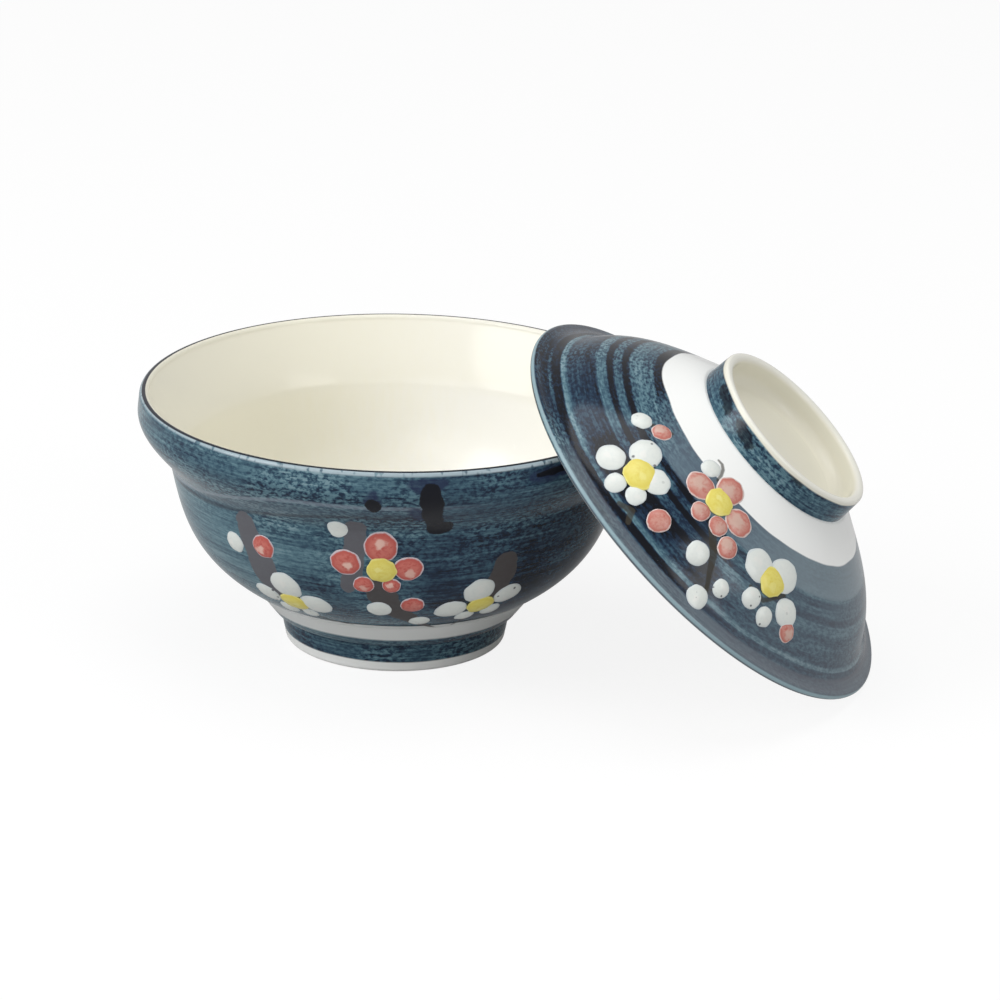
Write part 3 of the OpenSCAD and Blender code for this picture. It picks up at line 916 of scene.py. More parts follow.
def make_bowl_glaze():
    material, bench, shader = new_finish("bowl_glaze")
    wheel_place = on_the_wheel(bench)
    place, along = wheel_place["Place"], wheel_place["Along"]
    x, _, level = bench.split(place)
    front = front_of(bench, place)
    ragged = ragged_edge(bench, place, *BOWL_RAGGED)
    wash_ragged = bench.times(ragged, WASH_RAGGED)
    wash = marks(bench, front, wash_ragged, BOWL_WASHES, on_bowl, BOWL_WASH_BLUR)
    # Painted light and shade: the ground is paler on the left and darker on the right.
    lit_depth, shaded_depth = bench.step(level, *LIT_LEFT_DEPTH), bench.step(level, *SHADED_RIGHT_DEPTH)
    depth = bench.on_top(wash, BOWL_WASH_DEPTH, bench.step(x, *LIT_TO_SHADED, lit_depth, shaded_depth))
    mottle = bench.times(bench.step(level, *MOTTLE_BY_LEVEL), bench.step(x, *MOTTLE_BY_SIDE))
    ground = use(bench, brushed_cobalt, **wheel_place, Depth=depth, Streaks=0.9, Bands=0.6, Mottle=mottle)
    foot = use(bench, glaze_edge, **wheel_place, Edge=foot_edge, Waver=1.0, Blur=0.6)
    edge = use(bench, glaze_edge, **wheel_place, Edge=ground_edge, Waver=1.6, Blur=0.35)
    # The cove takes the greyer white as painted shade.
    cove = bench.minus(foot["Past"], edge["Past"], clamp=True)
    colour = bench.over(ground["Colour"], COVE_SHADED_WHITE, cove)
    colour = bench.over(colour, COBALT_POOL, bench.times(edge["Line"], EDGE_SHARE))
    colour = under_collar(bench, colour, x, level)
    grey = marks(bench, front, ragged, GREY_BRANCHES, on_bowl)
    dark = marks(bench, front, ragged, DARK_BRANCHES, on_bowl)
    runs = marks(bench, place, bench.times(ragged, RUN_RAGGED), RUNS, on_bowl, RUN_BLUR)
    drips = marks(bench, place, ragged, DRIPS, on_bowl)
    colour = bench.over(colour, IRON_GREY, bench.times(grey, IRON_SHARE))
    colour = bench.over(colour, IRON_DARK, bench.times(dark, IRON_SHARE))
    colour = bench.over(colour, COBALT_RUN, bench.times(runs, RUN_SHARE))
    colour = bench.over(colour, COBALT_POOL, drips)
    finish_glaze(bench, shader, place, over_the_lip(bench, colour, place, along))
    iron = bench.math("MAXIMUM", grey, dark)
    bench.feed(shader["Roughness"], bench.step(iron, 0.0, 1.0, GLAZE_ROUGH, IRON_ROUGH))
    return material


bowl_glaze = make_bowl_glaze()
print("bowl glaze:", len(bowl_glaze.node_tree.nodes), "nodes")

# %% [markdown]
# ## The lid's glaze
# The lid was banded on the wheel with a fuller brush, so its bands are broader and its darks deeper. Each
# band could have a mask of its own. Instead one ramp along the profile holds the depth of them all, so that
# they sway together as the brush did, and the darks are paler to the right. The cobalt stops short of the
# grip ring and leaves a white ring, the brim turns grey, on its far side as a painted sheen, and its very
# edge is pale. Under the lid the glaze is cream, as it is in the bowl.

# %% Where the lid's marks lie
WHITE_RING_RADIUS = 41.0


def lid_spot(radius):
    """The (length along, radius, level) on the lid's outside."""
    return crossings(lid_line, 0, radius)[-1]


def on_lid(turn, radius):
    return polar(turn, radius, lid_spot(radius)[2])


lip_under = crossings(lid_line, 0, lid_lip_centre[0])[0][0]
lip_over = lid_spot(lid_lip_centre[0])[0]
white_ring = lid_spot(WHITE_RING_RADIUS)[0]
print("lid stations:", round(lip_under, 1), round(lip_over, 1), round(white_ring, 1))

TWIGS = [
    [(-134, 49, 1.4), (-131, 46.5, 1.6), (-128, 44.5, 1.2)],
    [(-109.5, 36.9, 0.7), (-107, 36.8, 1), (-104.8, 37.6, 1.1), (-103.2, 39.2, 1.1), (-102.3, 41.2, 0.9)],
    [(-113, 64.5, 1.4), (-109.5, 63.5, 2.4), (-107.5, 65.5, 1.6)],
    [(-92, 51.5, 2), (-88.5, 54, 2.6), (-85, 57, 2.4), (-83, 60, 1.8), (-80.5, 63, 1.2)],
    [(-70, 56.5, 1.2), (-64, 57.5, 1.4), (-57, 53.5, 1.4)],
]
LID_WASHES = [
    [(-131, 52, 6), (-127, 60, 14), (-114, 59, 14)],
    [(-106, 50, 5), (-103, 59, 10), (-90, 55, 10), (-83, 62, 9)],
]

# %% The lid's bands
# Each band's edge is (radius, depth of the cobalt).
LID_BANDS = [
    (71, 0.34), (68, 0.42), (67.4, 0.6), (66.9, 0.98), (65.3, 0.98), (64.9, 0.2), (64.2, 0.26), (63.6, 0.66),
    (58.4, 0.72), (57.8, 0.34), (56, 0.36), (55.6, 0.92), (54.6, 0.9), (54.1, 0.42), (52.4, 0.5), (52, 0.94),
    (50.8, 0.9), (50.2, 0.36), (45.5, 0.4), (43.5, 0.46),
]
BAND_GRAIN = (0.022, 2.0)
BAND_SWAY = 4.0
MIDDLE_DEPTH = 0.45
PALER_DARKS = (0.0, 1.0, 1.0, 0.35)
BRIM_SPAN = (67.2, 68.0)
BRIM_DARK = (-64.0, -48.0, 0.36)
LAST_EDGE = (43.2, 44.0, 0.55)
LAST_EDGE_LEFT = (-39.0, -33.0)
LEFT_DEEPER = (-30.0, 10.0, 0.07)


def lid_depth(bench, place, along, x, radius, paler):
    """How thick the cobalt lies in each band."""
    lengths_at = [lid_spot(band_radius)[0] for band_radius, _ in LID_BANDS]
    first, span = lengths_at[0], lengths_at[-1] - lengths_at[0]
    shares = [(at - first) / span for at in lengths_at]
    greys = [(depth, depth, depth, 1.0) for _, depth in LID_BANDS]
    swept = bench.on_top(bench.uneven(place, *BAND_GRAIN), BAND_SWAY, along)
    ramp = bench.lay("ShaderNodeValToRGB")
    set_stops(ramp, list(zip(shares, greys)))
    bench.feed(ramp.inputs[0], bench.math("DIVIDE", bench.minus(swept, first), span, clamp=True))
    banded = ramp.outputs[0]
    deep = bench.minus(banded, MIDDLE_DEPTH)
    faded = bench.on_top(deep, bench.step(paler, *PALER_DARKS), MIDDLE_DEPTH)
    depth = bench.math("MINIMUM", banded, faded)
    brim = bench.times(bench.step(radius, *BRIM_SPAN), bench.fade(x, *BRIM_DARK))
    last_edge = bench.times(bench.fade(radius, *LAST_EDGE), bench.fade(x, *LAST_EDGE_LEFT))
    depth = bench.plus(depth, bench.plus(brim, last_edge))
    return bench.plus(depth, bench.fade(x, *LEFT_DEEPER))


print("lid bands:", len(LID_BANDS), "edges")


# %% The lid's greys
PALE_SIDE = linear(116, 122, 130)
PALE_SHARE = 0.38
LAST_GREY = linear(104, 117, 129)
LAST_PALE = linear(132, 146, 154)
LAST_BAND = (49.4, 50.4, 0.65)
LAST_BAND_RIGHT = (-38.0, -20.0)
LAST_PALE_RIGHT = (0.0, 30.0)
# On the far side the brim's grey is a painted sheen, the reflection along the grazing brim.
BRIM_GREY_AND_SHEEN = linear(106, 108, 116)
BRIM_GREY_SPAN = (66.6, 67.6)
RIGHT_GREY = (-54.0, -38.0, 0.0, 0.6)
FAR_SHEEN = (0.0, 20.0, 0.0, 0.5)


def lid_greys(bench, colour, x, y, radius, paler):
    """Lays the greys over the bands: the paler side, the last band by the white ring, and the brim's grey,
    which on the far side is a painted sheen.
    """
    colour = bench.over(colour, PALE_SIDE, bench.times(paler, PALE_SHARE))
    last_band = bench.times(bench.fade(radius, *LAST_BAND), bench.step(x, *LAST_BAND_RIGHT))
    last_grey = bench.over(LAST_GREY, LAST_PALE, bench.step(x, *LAST_PALE_RIGHT))
    colour = bench.over(colour, last_grey, last_band)
    grey_and_sheen_share = bench.math("MAXIMUM", bench.step(x, *RIGHT_GREY), bench.step(y, *FAR_SHEEN))
    return bench.over(colour, BRIM_GREY_AND_SHEEN, bench.times(bench.step(radius, *BRIM_GREY_SPAN), grey_and_sheen_share))


# %% The lid's glaze
# The grip's cream is darker than the bowl's, partly as painted shade in its recess.
GRIP_CREAM_AND_SHADE = linear(232, 229, 213)
TWIG_BROWN = linear(54, 49, 37)
TWIG_SHARE = 0.78
TWIG_ROUGH = 0.45
BRIM_EDGE = linear(150, 176, 184)
BRIM_EDGE_AT = lip_over - 1.6
BRIM_EDGE_SPAN = (0.3, 0.8, 0.9)
UNDER_LID_SPAN = (lip_under + 0.4, lip_under + 1.2)
PALER_SPAN = (-10.0, 40.0)
LID_RAGGED = (0.5, 1.2)
LID_WASH_BLUR = 3.0
LID_WASH_DEPTH = 0.32
LID_MOTTLE = (-40.0, 0.0, 0.46, 0.26)


def make_lid_glaze():
    material, bench, shader = new_finish("lid_glaze")
    wheel_place = on_the_wheel(bench)
    place, along = wheel_place["Place"], wheel_place["Along"]
    x, y, _ = bench.split(place)
    radius = bench.vector("LENGTH", bench.vector("MULTIPLY", place, (1.0, 1.0, 0.0)))
    paler = bench.step(x, *PALER_SPAN)
    front = front_of(bench, place)
    ragged = ragged_edge(bench, place, *LID_RAGGED)
    wash_ragged = bench.times(ragged, WASH_RAGGED)
    wash = marks(bench, front, wash_ragged, LID_WASHES, on_lid, LID_WASH_BLUR)
    depth = bench.on_top(wash, LID_WASH_DEPTH, lid_depth(bench, place, along, x, radius, paler))
    mottle = bench.step(x, *LID_MOTTLE)
    ground = use(bench, brushed_cobalt, **wheel_place, Depth=depth, Streaks=0.7, Bands=0.4, Mottle=mottle)
    colour = lid_greys(bench, ground["Colour"], x, y, radius, paler)
    edge = use(bench, glaze_edge, **wheel_place, Edge=white_ring, Waver=4.0, Blur=0.25)
    colour = bench.over(colour, WHITE_GLAZE, edge["Past"])
    twigs = marks(bench, front, ragged, TWIGS, on_lid)
    colour = bench.over(colour, TWIG_BROWN, bench.times(twigs, TWIG_SHARE))
    edge_gap = bench.math("ABSOLUTE", bench.minus(along, BRIM_EDGE_AT))
    colour = bench.over(colour, BRIM_EDGE, bench.fade(edge_gap, *BRIM_EDGE_SPAN))
    colour = bench.over(colour, CREAM_GLAZE, bench.fade(along, *UNDER_LID_SPAN))
    # Painted shade: the recess inside the grip ring takes the darker cream.
    recess = bench.times(bench.fade(radius, GRIP_RADIUS - GRIP_WALL, GRIP_RADIUS), edge["Past"])
    finish_glaze(bench, shader, place, bench.over(colour, GRIP_CREAM_AND_SHADE, recess))
    bench.feed(shader["Roughness"], bench.step(twigs, 0.0, 1.0, GLAZE_ROUGH, TWIG_ROUGH))
    return material


lid_glaze = make_lid_glaze()
print("lid glaze:", len(lid_glaze.node_tree.nodes), "nodes")

# %% [markdown]
# ## The two rings
# The foot ring and the grip ring each carry one band of brushed cobalt on the outside. The band could be a
# second material on some faces, but then its edges couldn't waver. On the grip the slip pooled dark here and
# there. The grip's rim is whiter as painted light, and its cream inside is darkened in part as painted shade
# in the recess. The foot's standing edge is wiped clean of glaze, or it would stick to the kiln shelf, so it
# shows bare, matt clay.

# %% Where the rings' bands lie
FOOT_BAND_LEVEL = 3.4
GRIP_BAND_LEVEL = GRIP_TOP - 1.5
PAST_JOIN = 1.0
GRIP_POOLS = [
    [(-150, 36.4, 2.6), (-140, 36.3, 3.6), (-133, 35.2, 3.2)],
    [(-121, 36.2, 3), (-114, 35.6, 4), (-108, 34.8, 3.4)],
    [(-79, 38.4, 1.6), (-74, 37.9, 2), (-69, 37.2, 1.4)],
    [(40, 36, 2.6), (49, 35.4, 3.4)],
]


def grip_spot(level):
    """The (length along, radius, level) on the grip ring's outside."""
    return crossings(grip_line, 1, level)[0]


def on_grip(turn, level):
    return polar(turn, grip_spot(level)[1], level)


foot_top = crossings(foot_line, 1, FOOT_HEIGHT)[-1][0]
foot_band = (crossings(foot_line, 1, FOOT_BAND_LEVEL)[1][0], foot_top + PAST_JOIN)
grip_band = (grip_spot(CROWN_HEIGHT)[0] - PAST_JOIN, grip_spot(GRIP_BAND_LEVEL)[0])
print("foot band:", [round(v, 1) for v in foot_band], "grip band:", [round(v, 1) for v in grip_band])

# %% The rings' glazes
BARE_CLAY = linear(206, 196, 180)
BARE_CLAY_DARK = linear(188, 174, 154)
CLAY_GRAIN = (1.3, 3.0)
CLAY_ROUGH = 0.8
BARE_LEVEL = 0.5
RING_RAGGED = (0.6, 4.0)
POOL_SHARE = 0.8
POOL_BLUR = 0.5
# The grip's rim is whiter than its inside as painted light.
LIT_RIM_SPAN = (GRIP_TOP - 1.5, GRIP_TOP, 0.0, 0.4)


def banded(bench, wheel_place, band, waver, inner, pools=()):
    """A glaze with a cobalt band between two lengths along the ring's line, pooled here and there."""
    place = wheel_place["Place"]
    ground = use(bench, brushed_cobalt, **wheel_place, Depth=0.5, Streaks=1.0, Bands=0.6, Mottle=0.45)
    low = use(bench, glaze_edge, **wheel_place, Edge=band[0], Waver=0.8, Blur=0.3)
    high = use(bench, glaze_edge, **wheel_place, Edge=band[1], Waver=waver, Blur=0.3)
    ragged = ragged_edge(bench, place, *RING_RAGGED)
    pooled = bench.times(marks(bench, place, ragged, pools, on_grip, POOL_BLUR), POOL_SHARE)
    band_colour = bench.over(ground["Colour"], COBALT_POOL, pooled)
    return bench.over(inner, band_colour, bench.minus(low["Past"], high["Past"], clamp=True))


def make_foot_glaze():
    material, bench, shader = new_finish("foot_ring_glaze")
    wheel_place = on_the_wheel(bench)
    place = wheel_place["Place"]
    colour = banded(bench, wheel_place, foot_band, 0.8, WHITE_GLAZE)
    bare = bench.fade(bench.split(place)[2], 0.0, BARE_LEVEL)
    clay = bench.over(BARE_CLAY, BARE_CLAY_DARK, bench.noise(place, *CLAY_GRAIN))
    finish_glaze(bench, shader, place, bench.over(colour, clay, bare))
    bench.feed(shader["Roughness"], bench.step(bare, 0.0, 1.0, GLAZE_ROUGH, CLAY_ROUGH))
    return material


def make_grip_glaze():
    material, bench, shader = new_finish("grip_ring_glaze")
    wheel_place = on_the_wheel(bench)
    place = wheel_place["Place"]
    # Painted light and shade: the rim is whiter, and the recess is a darker cream.
    inner = bench.over(GRIP_CREAM_AND_SHADE, WHITE_GLAZE, bench.step(bench.split(place)[2], *LIT_RIM_SPAN))
    finish_glaze(bench, shader, place, banded(bench, wheel_place, grip_band, 2.0, inner, GRIP_POOLS))
    return material


foot_glaze, grip_glaze = make_foot_glaze(), make_grip_glaze()
print("ring glazes:", foot_glaze.name, grip_glaze.name)

# %% [markdown]
# ## The enamels
# Enamel is soft glass. It draws thin at its rim, shows the ground there as a paler ring, lies thickest just
# inside that ring, and often has a lighter spot off its middle. One picture of a drop could be put on all of
# them, but then they would all match. So one group reads the place on each drop and the drop's number, and
# gives those masks. Four materials colour them, because the lid's red is paler than the bowl's. The white
# has a few dark pinholes, as overfired enamel does.

# %% The enamel group
DROP_APART = 5.3
DROP_GRAIN = (2.2, 2.0)
DROP_UNEVEN = 0.22
HEART_SWING = 2.4
HEART_OFF = 0.3
HEART_CORE = 0.4
HEART_CHANCE = (0.28, 0.48)
PIT_SCALE = 1.25
PIT_SPAN = (0.09, 0.17)
PIT_CHANCE = (0.46, 0.56)
CHANCE_GRAIN = (0.77, 0.0)
RIM_REACH = (0.87, 0.96)
RING_REACH = (0.55, 0.82, 0.0, 0.8)
MOTTLE_GRAIN = (3.4, 3.0, 0.6)


def make_enamel_drop():
    outputs = {"Rim": "Float", "Ring": "Float", "Heart": "Float", "Mottle": "Float", "Pits": "Float"}
    bench, given, give = shader_group("enamel drop", {"Drop": "Vector", "Heart Reach": "Float"}, outputs)
    x, y, seed = bench.split(given["Drop"])
    flat = bench.join(x, y, 0.0)
    apart = bench.join(x, y, bench.times(seed, DROP_APART))
    uneven = bench.uneven(apart, *DROP_GRAIN)
    reach = bench.on_top(uneven, DROP_UNEVEN, bench.vector("LENGTH", flat))
    swing = bench.times(seed, HEART_SWING)
    heart_x = bench.times(bench.math("COSINE", swing), HEART_OFF)
    heart_y = bench.times(bench.math("SINE", swing), HEART_OFF)
    heart_gap = bench.vector("DISTANCE", flat, bench.join(heart_x, heart_y, 0.0))
    heart_reach = given["Heart Reach"]
    heart = bench.fade(bench.plus(uneven, heart_gap), bench.times(heart_reach, HEART_CORE), heart_reach)
    chance = bench.noise(bench.join(seed, seed, 0.5), *CHANCE_GRAIN)
    pits = bench.fade(bench.cells(apart, PIT_SCALE), *PIT_SPAN)
    give(Rim=bench.step(reach, *RIM_REACH), Ring=bench.step(reach, *RING_REACH),
         Heart=bench.times(heart, bench.step(chance, *HEART_CHANCE)),
         Mottle=bench.noise(apart, *MOTTLE_GRAIN), Pits=bench.times(pits, bench.step(chance, *PIT_CHANCE)))
    return bench.tree


enamel_drop = make_enamel_drop()
print("enamel drop:", len(enamel_drop.nodes), "nodes")

# %% The enamels
# Each enamel is its body, its thicker shade, its rim and its heart, the heart's reach and the pits' share.
ENAMELS = {
    "white": ((226, 230, 225), (221, 226, 222), (210, 217, 218), (230, 231, 226), 0.34, 0.85),
    "red": ((204, 116, 105), (187, 88, 80), (208, 196, 202), (235, 199, 185), 0.46, 0.0),
    "pale_red": ((202, 146, 134), (190, 112, 101), (222, 204, 199), (208, 178, 165), 0.75, 0.0),
    "yellow": ((231, 219, 119), (225, 209, 99), (231, 221, 131), (236, 227, 142), 0.34, 0.0),
}
PIT_DARK = linear(70, 72, 80)
ENAMEL_SHINE = 0.25
ENAMEL_BUMP = 0.1
THICKER_SPAN = (0.4, 0.7)
HEART_SHARE = 0.85


def make_enamel(name, body, shade, rim, heart, heart_reach, pit_share):
    material, bench, shader = new_finish("enamel_" + name, specular=ENAMEL_SHINE)
    drop = use(bench, enamel_drop, Drop=stored(bench, "dab_at", "Vector"), Heart_Reach=heart_reach)
    thicker = bench.math("MAXIMUM", bench.step(drop["Mottle"], *THICKER_SPAN), drop["Ring"])
    colour = bench.over(linear(*body), linear(*shade), thicker)
    colour = bench.over(colour, linear(*heart), bench.times(drop["Heart"], HEART_SHARE))
    colour = bench.over(colour, linear(*rim), drop["Rim"])
    colour = bench.over(colour, PIT_DARK, bench.times(drop["Pits"], pit_share))
    bench.feed(shader["Base Color"], colour)
    raise_skin(bench, shader, drop["Mottle"], ENAMEL_BUMP)
    return material


enamels = {name: make_enamel(name, *values) for name, values in ENAMELS.items()}
print("enamels:", [material.name for material in enamels.values()])

# %% [markdown]
# ## Turning the four pots
# Each profile becomes a curve for the wheel to read. The tree could stay on its bare host as a modifier, but
# then each piece would need its tree and its curve for good. So the result is kept as a plain mesh and the
# modifier goes. A closed mesh whose faces point outwards has a positive volume, which is printed as a check.

# %% Helpers for making pieces
def profile_curve(name, line):
    """A profile as a poly curve, in metres, for the trees to read."""
    curve = bpy.data.curves.new(name, "CURVE")
    curve.dimensions = "3D"
    spline = curve.splines.new("POLY")
    spline.points.add(len(line) - 1)
    for point, (radius, level) in zip(spline.points, line):
        point.co = (radius * MM, 0.0, level * MM, 1.0)
    item = bpy.data.objects.new(name, curve)
    bpy.context.scene.collection.objects.link(item)
    return item


def run_tree(name, tree, start, inputs):
    """Runs a tree on a host mesh and keeps the result as a plain mesh at the origin."""
    host = bpy.data.objects.new(name, start)
    bpy.context.scene.collection.objects.link(host)
    modifier = host.modifiers.new(tree.name, "NODES")
    modifier.node_group = tree
    for socket in tree.interface.items_tree:
        if socket.in_out == "INPUT" and socket.name in inputs:
            modifier[socket.identifier] = inputs[socket.name]
    depsgraph = bpy.context.evaluated_depsgraph_get()
    made = host.evaluated_get(depsgraph)
    mesh = bpy.data.meshes.new_from_object(made, preserve_all_data_layers=True, depsgraph=depsgraph)
    host.modifiers.remove(modifier)
    host.data = mesh
    mesh.name = name
    return host


def volume_of(item):
    """The volume inside a piece's faces, in cubic centimetres; below zero means inside out."""
    shape = bmesh.new()
    shape.from_mesh(item.data)
    volume = shape.calc_volume(signed=True) / (10 * MM) ** 3
    shape.free()
    return round(volume, 2)


def hand_over(item, body, node):
    """The piece rides on its body and stands for its CAD node, which is hidden."""
    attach(item, body)
    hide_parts(node)


# %% Turn the pots
COLUMNS = 238
POTS = [
    ("bowl_wall", bowl_line, bowl_glaze, UPRIGHT, "bowl", "bowl_body", "blue_glaze"),
    ("bowl_foot", foot_line, foot_glaze, UPRIGHT, "bowl", "foot_ring", "band_glaze"),
    ("lid_dome", lid_line, lid_glaze, LEANING, "lid", "lid_body", "blue_glaze"),
    ("lid_grip", grip_line, grip_glaze, LEANING, "lid", "grip_ring", "band_glaze"),
]
profiles = {}
for name, line, glaze, (pot_place, pot_turn), body, node, slot in POTS:
    profiles[name] = profile_curve(name + "_line", line)
    inputs = {"Profile": profiles[name], "Columns": COLUMNS,
              "Place": pot_place, "Turn": pot_turn, "Material": glaze}
    pot = run_tree(name, wheel, bpy.data.meshes.new(name), inputs)
    hand_over(pot, body, node)
    print(name, len(pot.data.polygons), "faces,", volume_of(pot), "cm3")

# %% [markdown]
# ## Laying the blossoms
# Each pot carries a spray of blossoms and single buds, repeated on its other side. The drops could be
# scattered by chance, but a painter lays each petal on purpose, so each has its own place here. A blossom is
# its enamel, turn, station, heart's size and petals. Its petals are (sideways, up, size) in millimetres from
# the heart, because that is how the brush finds them. A bud is its enamel, turn, station and size. Stations
# are levels on the bowl and radii on the lid.

# %% The sprays
BOWL_SPRAY = {
    "blossoms": [
        ("white", -108, 28.5, 4.3,
         [(0, 8, 5.3), (-9, 1.5, 4.2), (7.5, 0.5, 5), (-5, -6, 3.2), (3, -6.3, 2.8)]),
        ("red", -80, 45.5, 4.3,
         [(0, 8, 5.1), (-10.5, 2, 4.5), (8, 0.5, 4.3), (-5.5, -6, 3.1), (3, -6, 2.8)]),
        ("white", -51, 30, 4.2,
         [(-2, 7, 5), (-9, -1.5, 4.8), (8.3, 3.2, 4.5), (-3, -7, 3), (5.5, -5, 3.3)]),
    ],
    "buds": [
        ("white", -122, 46.5, 3.5), ("white", -90.5, 59, 3.2), ("white", -81, 30, 3.8),
        ("white", -68.5, 24, 3.2), ("red", -112, 48, 3.9), ("red", -71.5, 32, 3.6),
    ],
}
LID_SPRAY = {
    "blossoms": [
        ("white", -117.5, 58, 4.8,
         [(-8.5, -4.5, 4.3), (-5.5, 5.5, 4.9), (-1, -7.5, 3.2), (5, -4.5, 3.1), (4.5, 3.1, 4.3)]),
        ("red", -95.5, 45.5, 4.3,
         [(-7, -1, 4.5), (0, 6, 4.5), (-1.5, -7, 3.1), (4.5, -6, 3.1), (8.5, 0, 4.4)]),
        ("white", -63.5, 52.5, 4.6,
         [(-6, 2, 5.1), (4, 4, 5.3), (-4, -8, 3.3), (2, -10.5, 3), (8.5, -6, 4.3)]),
    ],
    "buds": [
        ("white", -136, 50.5, 3.2), ("white", -108, 40.5, 3), ("white", -89, 59, 3.7),
        ("white", -81.5, 65.5, 3.5), ("white", -77.5, 61, 2.7), ("red", -129.5, 47, 3),
        ("red", -103, 60.5, 3.6), ("red", -83, 53, 3.4), ("red", -51.5, 60.5, 3),
    ],
}
SPRAY_TURNS = (0, 180)
print("blossoms on each side:", len(BOWL_SPRAY["blossoms"] + LID_SPRAY["blossoms"]))


# %% The drops of a spray
PETAL_STRETCH = 1.05


def drops_of(spray, enamel, spot_at):
    """Every drop of one enamel, as (turn, length along, size, spin), on both sides of the pot."""
    drops = []
    for spray_turn in SPRAY_TURNS:
        for colour, turn, station, heart_size, petals in spray["blossoms"]:
            along, radius, _ = spot_at(station)
            heart = [(0, 0, heart_size)] if enamel == "yellow" else []
            for sideways, up, size in (petals if colour == enamel else heart):
                swing = math.degrees(sideways / radius)
                spin = math.atan2(up, sideways)
                drops.append((turn + swing + spray_turn, along + up, size, spin))
        for colour, turn, station, size in spray["buds"]:
            if colour == enamel:
                drops.append((turn + spray_turn, spot_at(station)[0], size, math.radians(turn)))
    return drops


def drop_points(name, drops):
    """The drops as bare points that carry their values for the enamel brush."""
    mesh = bpy.data.meshes.new(name)
    mesh.from_pydata([(0.0, 0.0, 0.0)] * len(drops), [], [])
    values = {
        "turn": [math.radians(turn) for turn, _, _, _ in drops],
        "along": [along * MM for _, along, _, _ in drops],
        "size": [size * MM for _, _, size, _ in drops],
        "spin": [spin for _, _, _, spin in drops],
        "stretch": [PETAL_STRETCH] * len(drops),
        "seed": [float(index) for index in range(len(drops))],
    }
    for label, column in values.items():
        mesh.attributes.new(label, "FLOAT", "POINT").data.foreach_set("value", column)
    return mesh


# %% Lay the enamel
PETAL_RISE = 0.7
PETAL_SINK = 0.3
LIFTS = {"white": 0.0, "red": 0.0, "yellow": 0.35}
UNEVEN = {"white": 0.22, "red": 0.22, "yellow": 0.4}
NODE_WORDS = {"white": "white_petals", "red": "red_petals", "yellow": "yellow_centres"}
SIDES = {
    "bowl": (BOWL_SPRAY, profiles["bowl_wall"], UPRIGHT, bowl_spot, "red"),
    "lid": (LID_SPRAY, profiles["lid_dome"], LEANING, lid_spot, "pale_red"),
}
for body, (spray, profile, (pot_place, pot_turn), spot_at, red) in SIDES.items():
    for enamel, material_name in (("white", "white"), ("red", red), ("yellow", "yellow")):
        drops = drops_of(spray, enamel, spot_at)
        name = body + "_" + enamel + "_enamel"
        inputs = {"Profile": profile, "Rise": PETAL_RISE * MM, "Lift": LIFTS[enamel] * MM,
                  "Sink": PETAL_SINK * MM, "Uneven": UNEVEN[enamel],
                  "Place": pot_place, "Turn": pot_turn, "Material": enamels[material_name]}
        piece = run_tree(name, enamel_brush, drop_points(name, drops), inputs)
        hand_over(piece, body, body + "_" + NODE_WORDS[enamel])
        print(name, len(drops), "drops,", len(piece.data.polygons), "faces,", volume_of(piece), "cm3")

# %% [markdown]
# ## Clearing the bench
# The profile curves have done their work. A curve left in the scene would count as a piece of the object.

# %% Remove the profile curves
for item in profiles.values():
    bpy.data.objects.remove(item)

# %% [markdown]
# ## The studio
# The photograph is lit softly from the left, on white, so the floor and an even world are white too. For
# camera and mirror rays they are mixed with plain white light, but the floor keeps part of the object's
# shadow so that it stands on something, and it throws back less light than it shows.

# %% The floor
WHITE = (1.0, 1.0, 1.0, 1.0)
FLOOR_GREY = (0.55, 0.55, 0.55, 1.0)
FLOOR_ROUGH = 0.9
FLOOR_SIZE = 8.0
FLOOR_GAP = 0.2 * MM
CORNERS = ((-1, -1), (1, -1), (1, 1), (-1, 1))
FLOOR_WHITE = {"camera_share": 0.87, "mirror_share": 0.15}


def white_where_seen(bench, shader_output, camera_share, mirror_share):
    """Mixes a surface with plain white light, for camera rays and less for mirror rays."""
    path = bench.lay("ShaderNodeLightPath").outputs
    mirrored = bench.math("MAXIMUM", path["Is Glossy Ray"], path["Is Transmission Ray"])
    mirrored = bench.times(mirrored, mirror_share)
    share = bench.on_top(path["Is Camera Ray"], camera_share, mirrored)
    glow = bench.lay("ShaderNodeEmission", {"Color": WHITE, "Strength": 1.0}).outputs[0]
    return bench.lay("ShaderNodeMixShader", {0: share, 1: shader_output, 2: glow})


floor_mesh = bpy.data.meshes.new("floor")
corners = [(x * FLOOR_SIZE, y * FLOOR_SIZE, -FLOOR_GAP) for x, y in CORNERS]
floor_mesh.from_pydata(corners, [], [(0, 1, 2, 3)])
floor = bpy.data.objects.new("floor", floor_mesh)
bpy.context.scene.collection.objects.link(floor)
floor_paint, floor_bench, floor_shader = new_finish("floor_paint", FLOOR_ROUGH, 0.0)
floor_seen = floor_bench.lay("ShaderNodeLightPath").outputs["Is Camera Ray"]
floor_bench.feed(floor_shader["Base Color"], floor_bench.over(FLOOR_GREY, WHITE, floor_seen))
floor_nodes = floor_paint.node_tree.nodes
floor_mix = white_where_seen(floor_bench, floor_nodes["Principled BSDF"].outputs[0], **FLOOR_WHITE)
floor_bench.feed(floor_nodes["Material Output"].inputs["Surface"], floor_mix.outputs[0])
floor_mesh.materials.append(floor_paint)
print("floor:", 2 * FLOOR_SIZE, "m across")

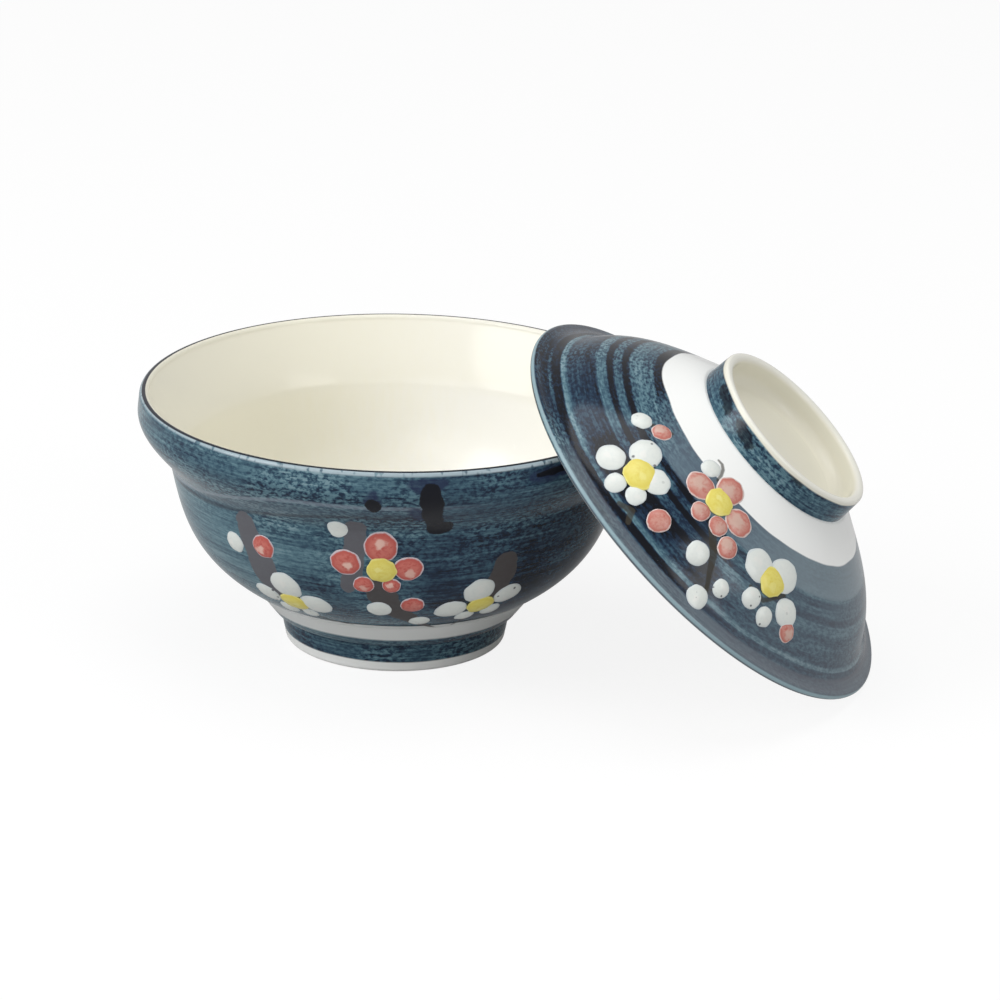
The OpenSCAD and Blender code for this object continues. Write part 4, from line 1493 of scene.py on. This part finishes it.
# %% The world
WORLD_LIGHT = 0.34
WORLD_WHITE = {"camera_share": 1.0, "mirror_share": 0.3}
world = bpy.data.worlds.new("studio")
world.use_nodes = True
bpy.context.scene.world = world
world_bench = Bench(world.node_tree)
soft_sky = world.node_tree.nodes["Background"]
soft_sky.inputs["Color"].default_value = WHITE
soft_sky.inputs["Strength"].default_value = WORLD_LIGHT
world_mix = white_where_seen(world_bench, soft_sky.outputs[0], **WORLD_WHITE)
world_bench.feed(world.node_tree.nodes["World Output"].inputs["Surface"], world_mix.outputs[0])
print("world light:", WORLD_LIGHT)

# %% [markdown]
# ## Lamps and camera
# Area lamps are soft because they are large. The one on the left does the shaping, the one above fills the
# bowl, and weaker ones in front and on the right open the shadows. The camera's place, angle and lens come
# from fitting the rims of the bowl and the lid to the photograph, so the picture frames the object as the
# photograph does.

# %% The lamps
LOOK_AT = Vector((0.03, 0.0, 0.05))
# Each lamp is its place and its size in metres, and its power in watts.
LAMPS = {
    "left_lamp": ((-1.2, -0.9, 1.15), 1.0, 17.0),
    "top_lamp": ((0.0, 0.0, 1.8), 1.2, 12.0),
    "front_lamp": ((-0.3, -1.8, 0.9), 1.0, 4.0),
    "right_lamp": ((1.5, -0.7, 0.8), 0.8, 6.4),
}
for name, (lamp_place, size, power) in LAMPS.items():
    lamp = bpy.data.lights.new(name, "AREA")
    lamp.shape = "SQUARE"
    lamp.size = size
    lamp.energy = power
    item = bpy.data.objects.new(name, lamp)
    item.location = lamp_place
    item.rotation_euler = (LOOK_AT - item.location).to_track_quat("-Z", "Y").to_euler()
    bpy.context.scene.collection.objects.link(item)
print("lamps:", list(LAMPS))

# %% The camera
CAMERA_PLACE = (0.2969, -1.2171, 0.4891)
CAMERA_ANGLES = (90 - 19.55, 0.0, 12.25)
CAMERA_ROLL = 1.19
CAMERA_LENS = 154.8
SENSOR_WIDTH = 36.0
camera = bpy.data.objects.new("camera", bpy.data.cameras.new("camera"))
camera.data.lens = CAMERA_LENS
camera.data.sensor_width = SENSOR_WIDTH
bpy.context.scene.collection.objects.link(camera)
angles = Euler([math.radians(angle) for angle in CAMERA_ANGLES]).to_matrix().to_4x4()
roll = Matrix.Rotation(math.radians(CAMERA_ROLL), 4, "Z")
camera.matrix_world = Matrix.Translation(CAMERA_PLACE) @ angles @ roll
bpy.context.scene.camera = camera
bpy.context.scene.view_settings.view_transform = "Standard"
print("camera at", CAMERA_PLACE)
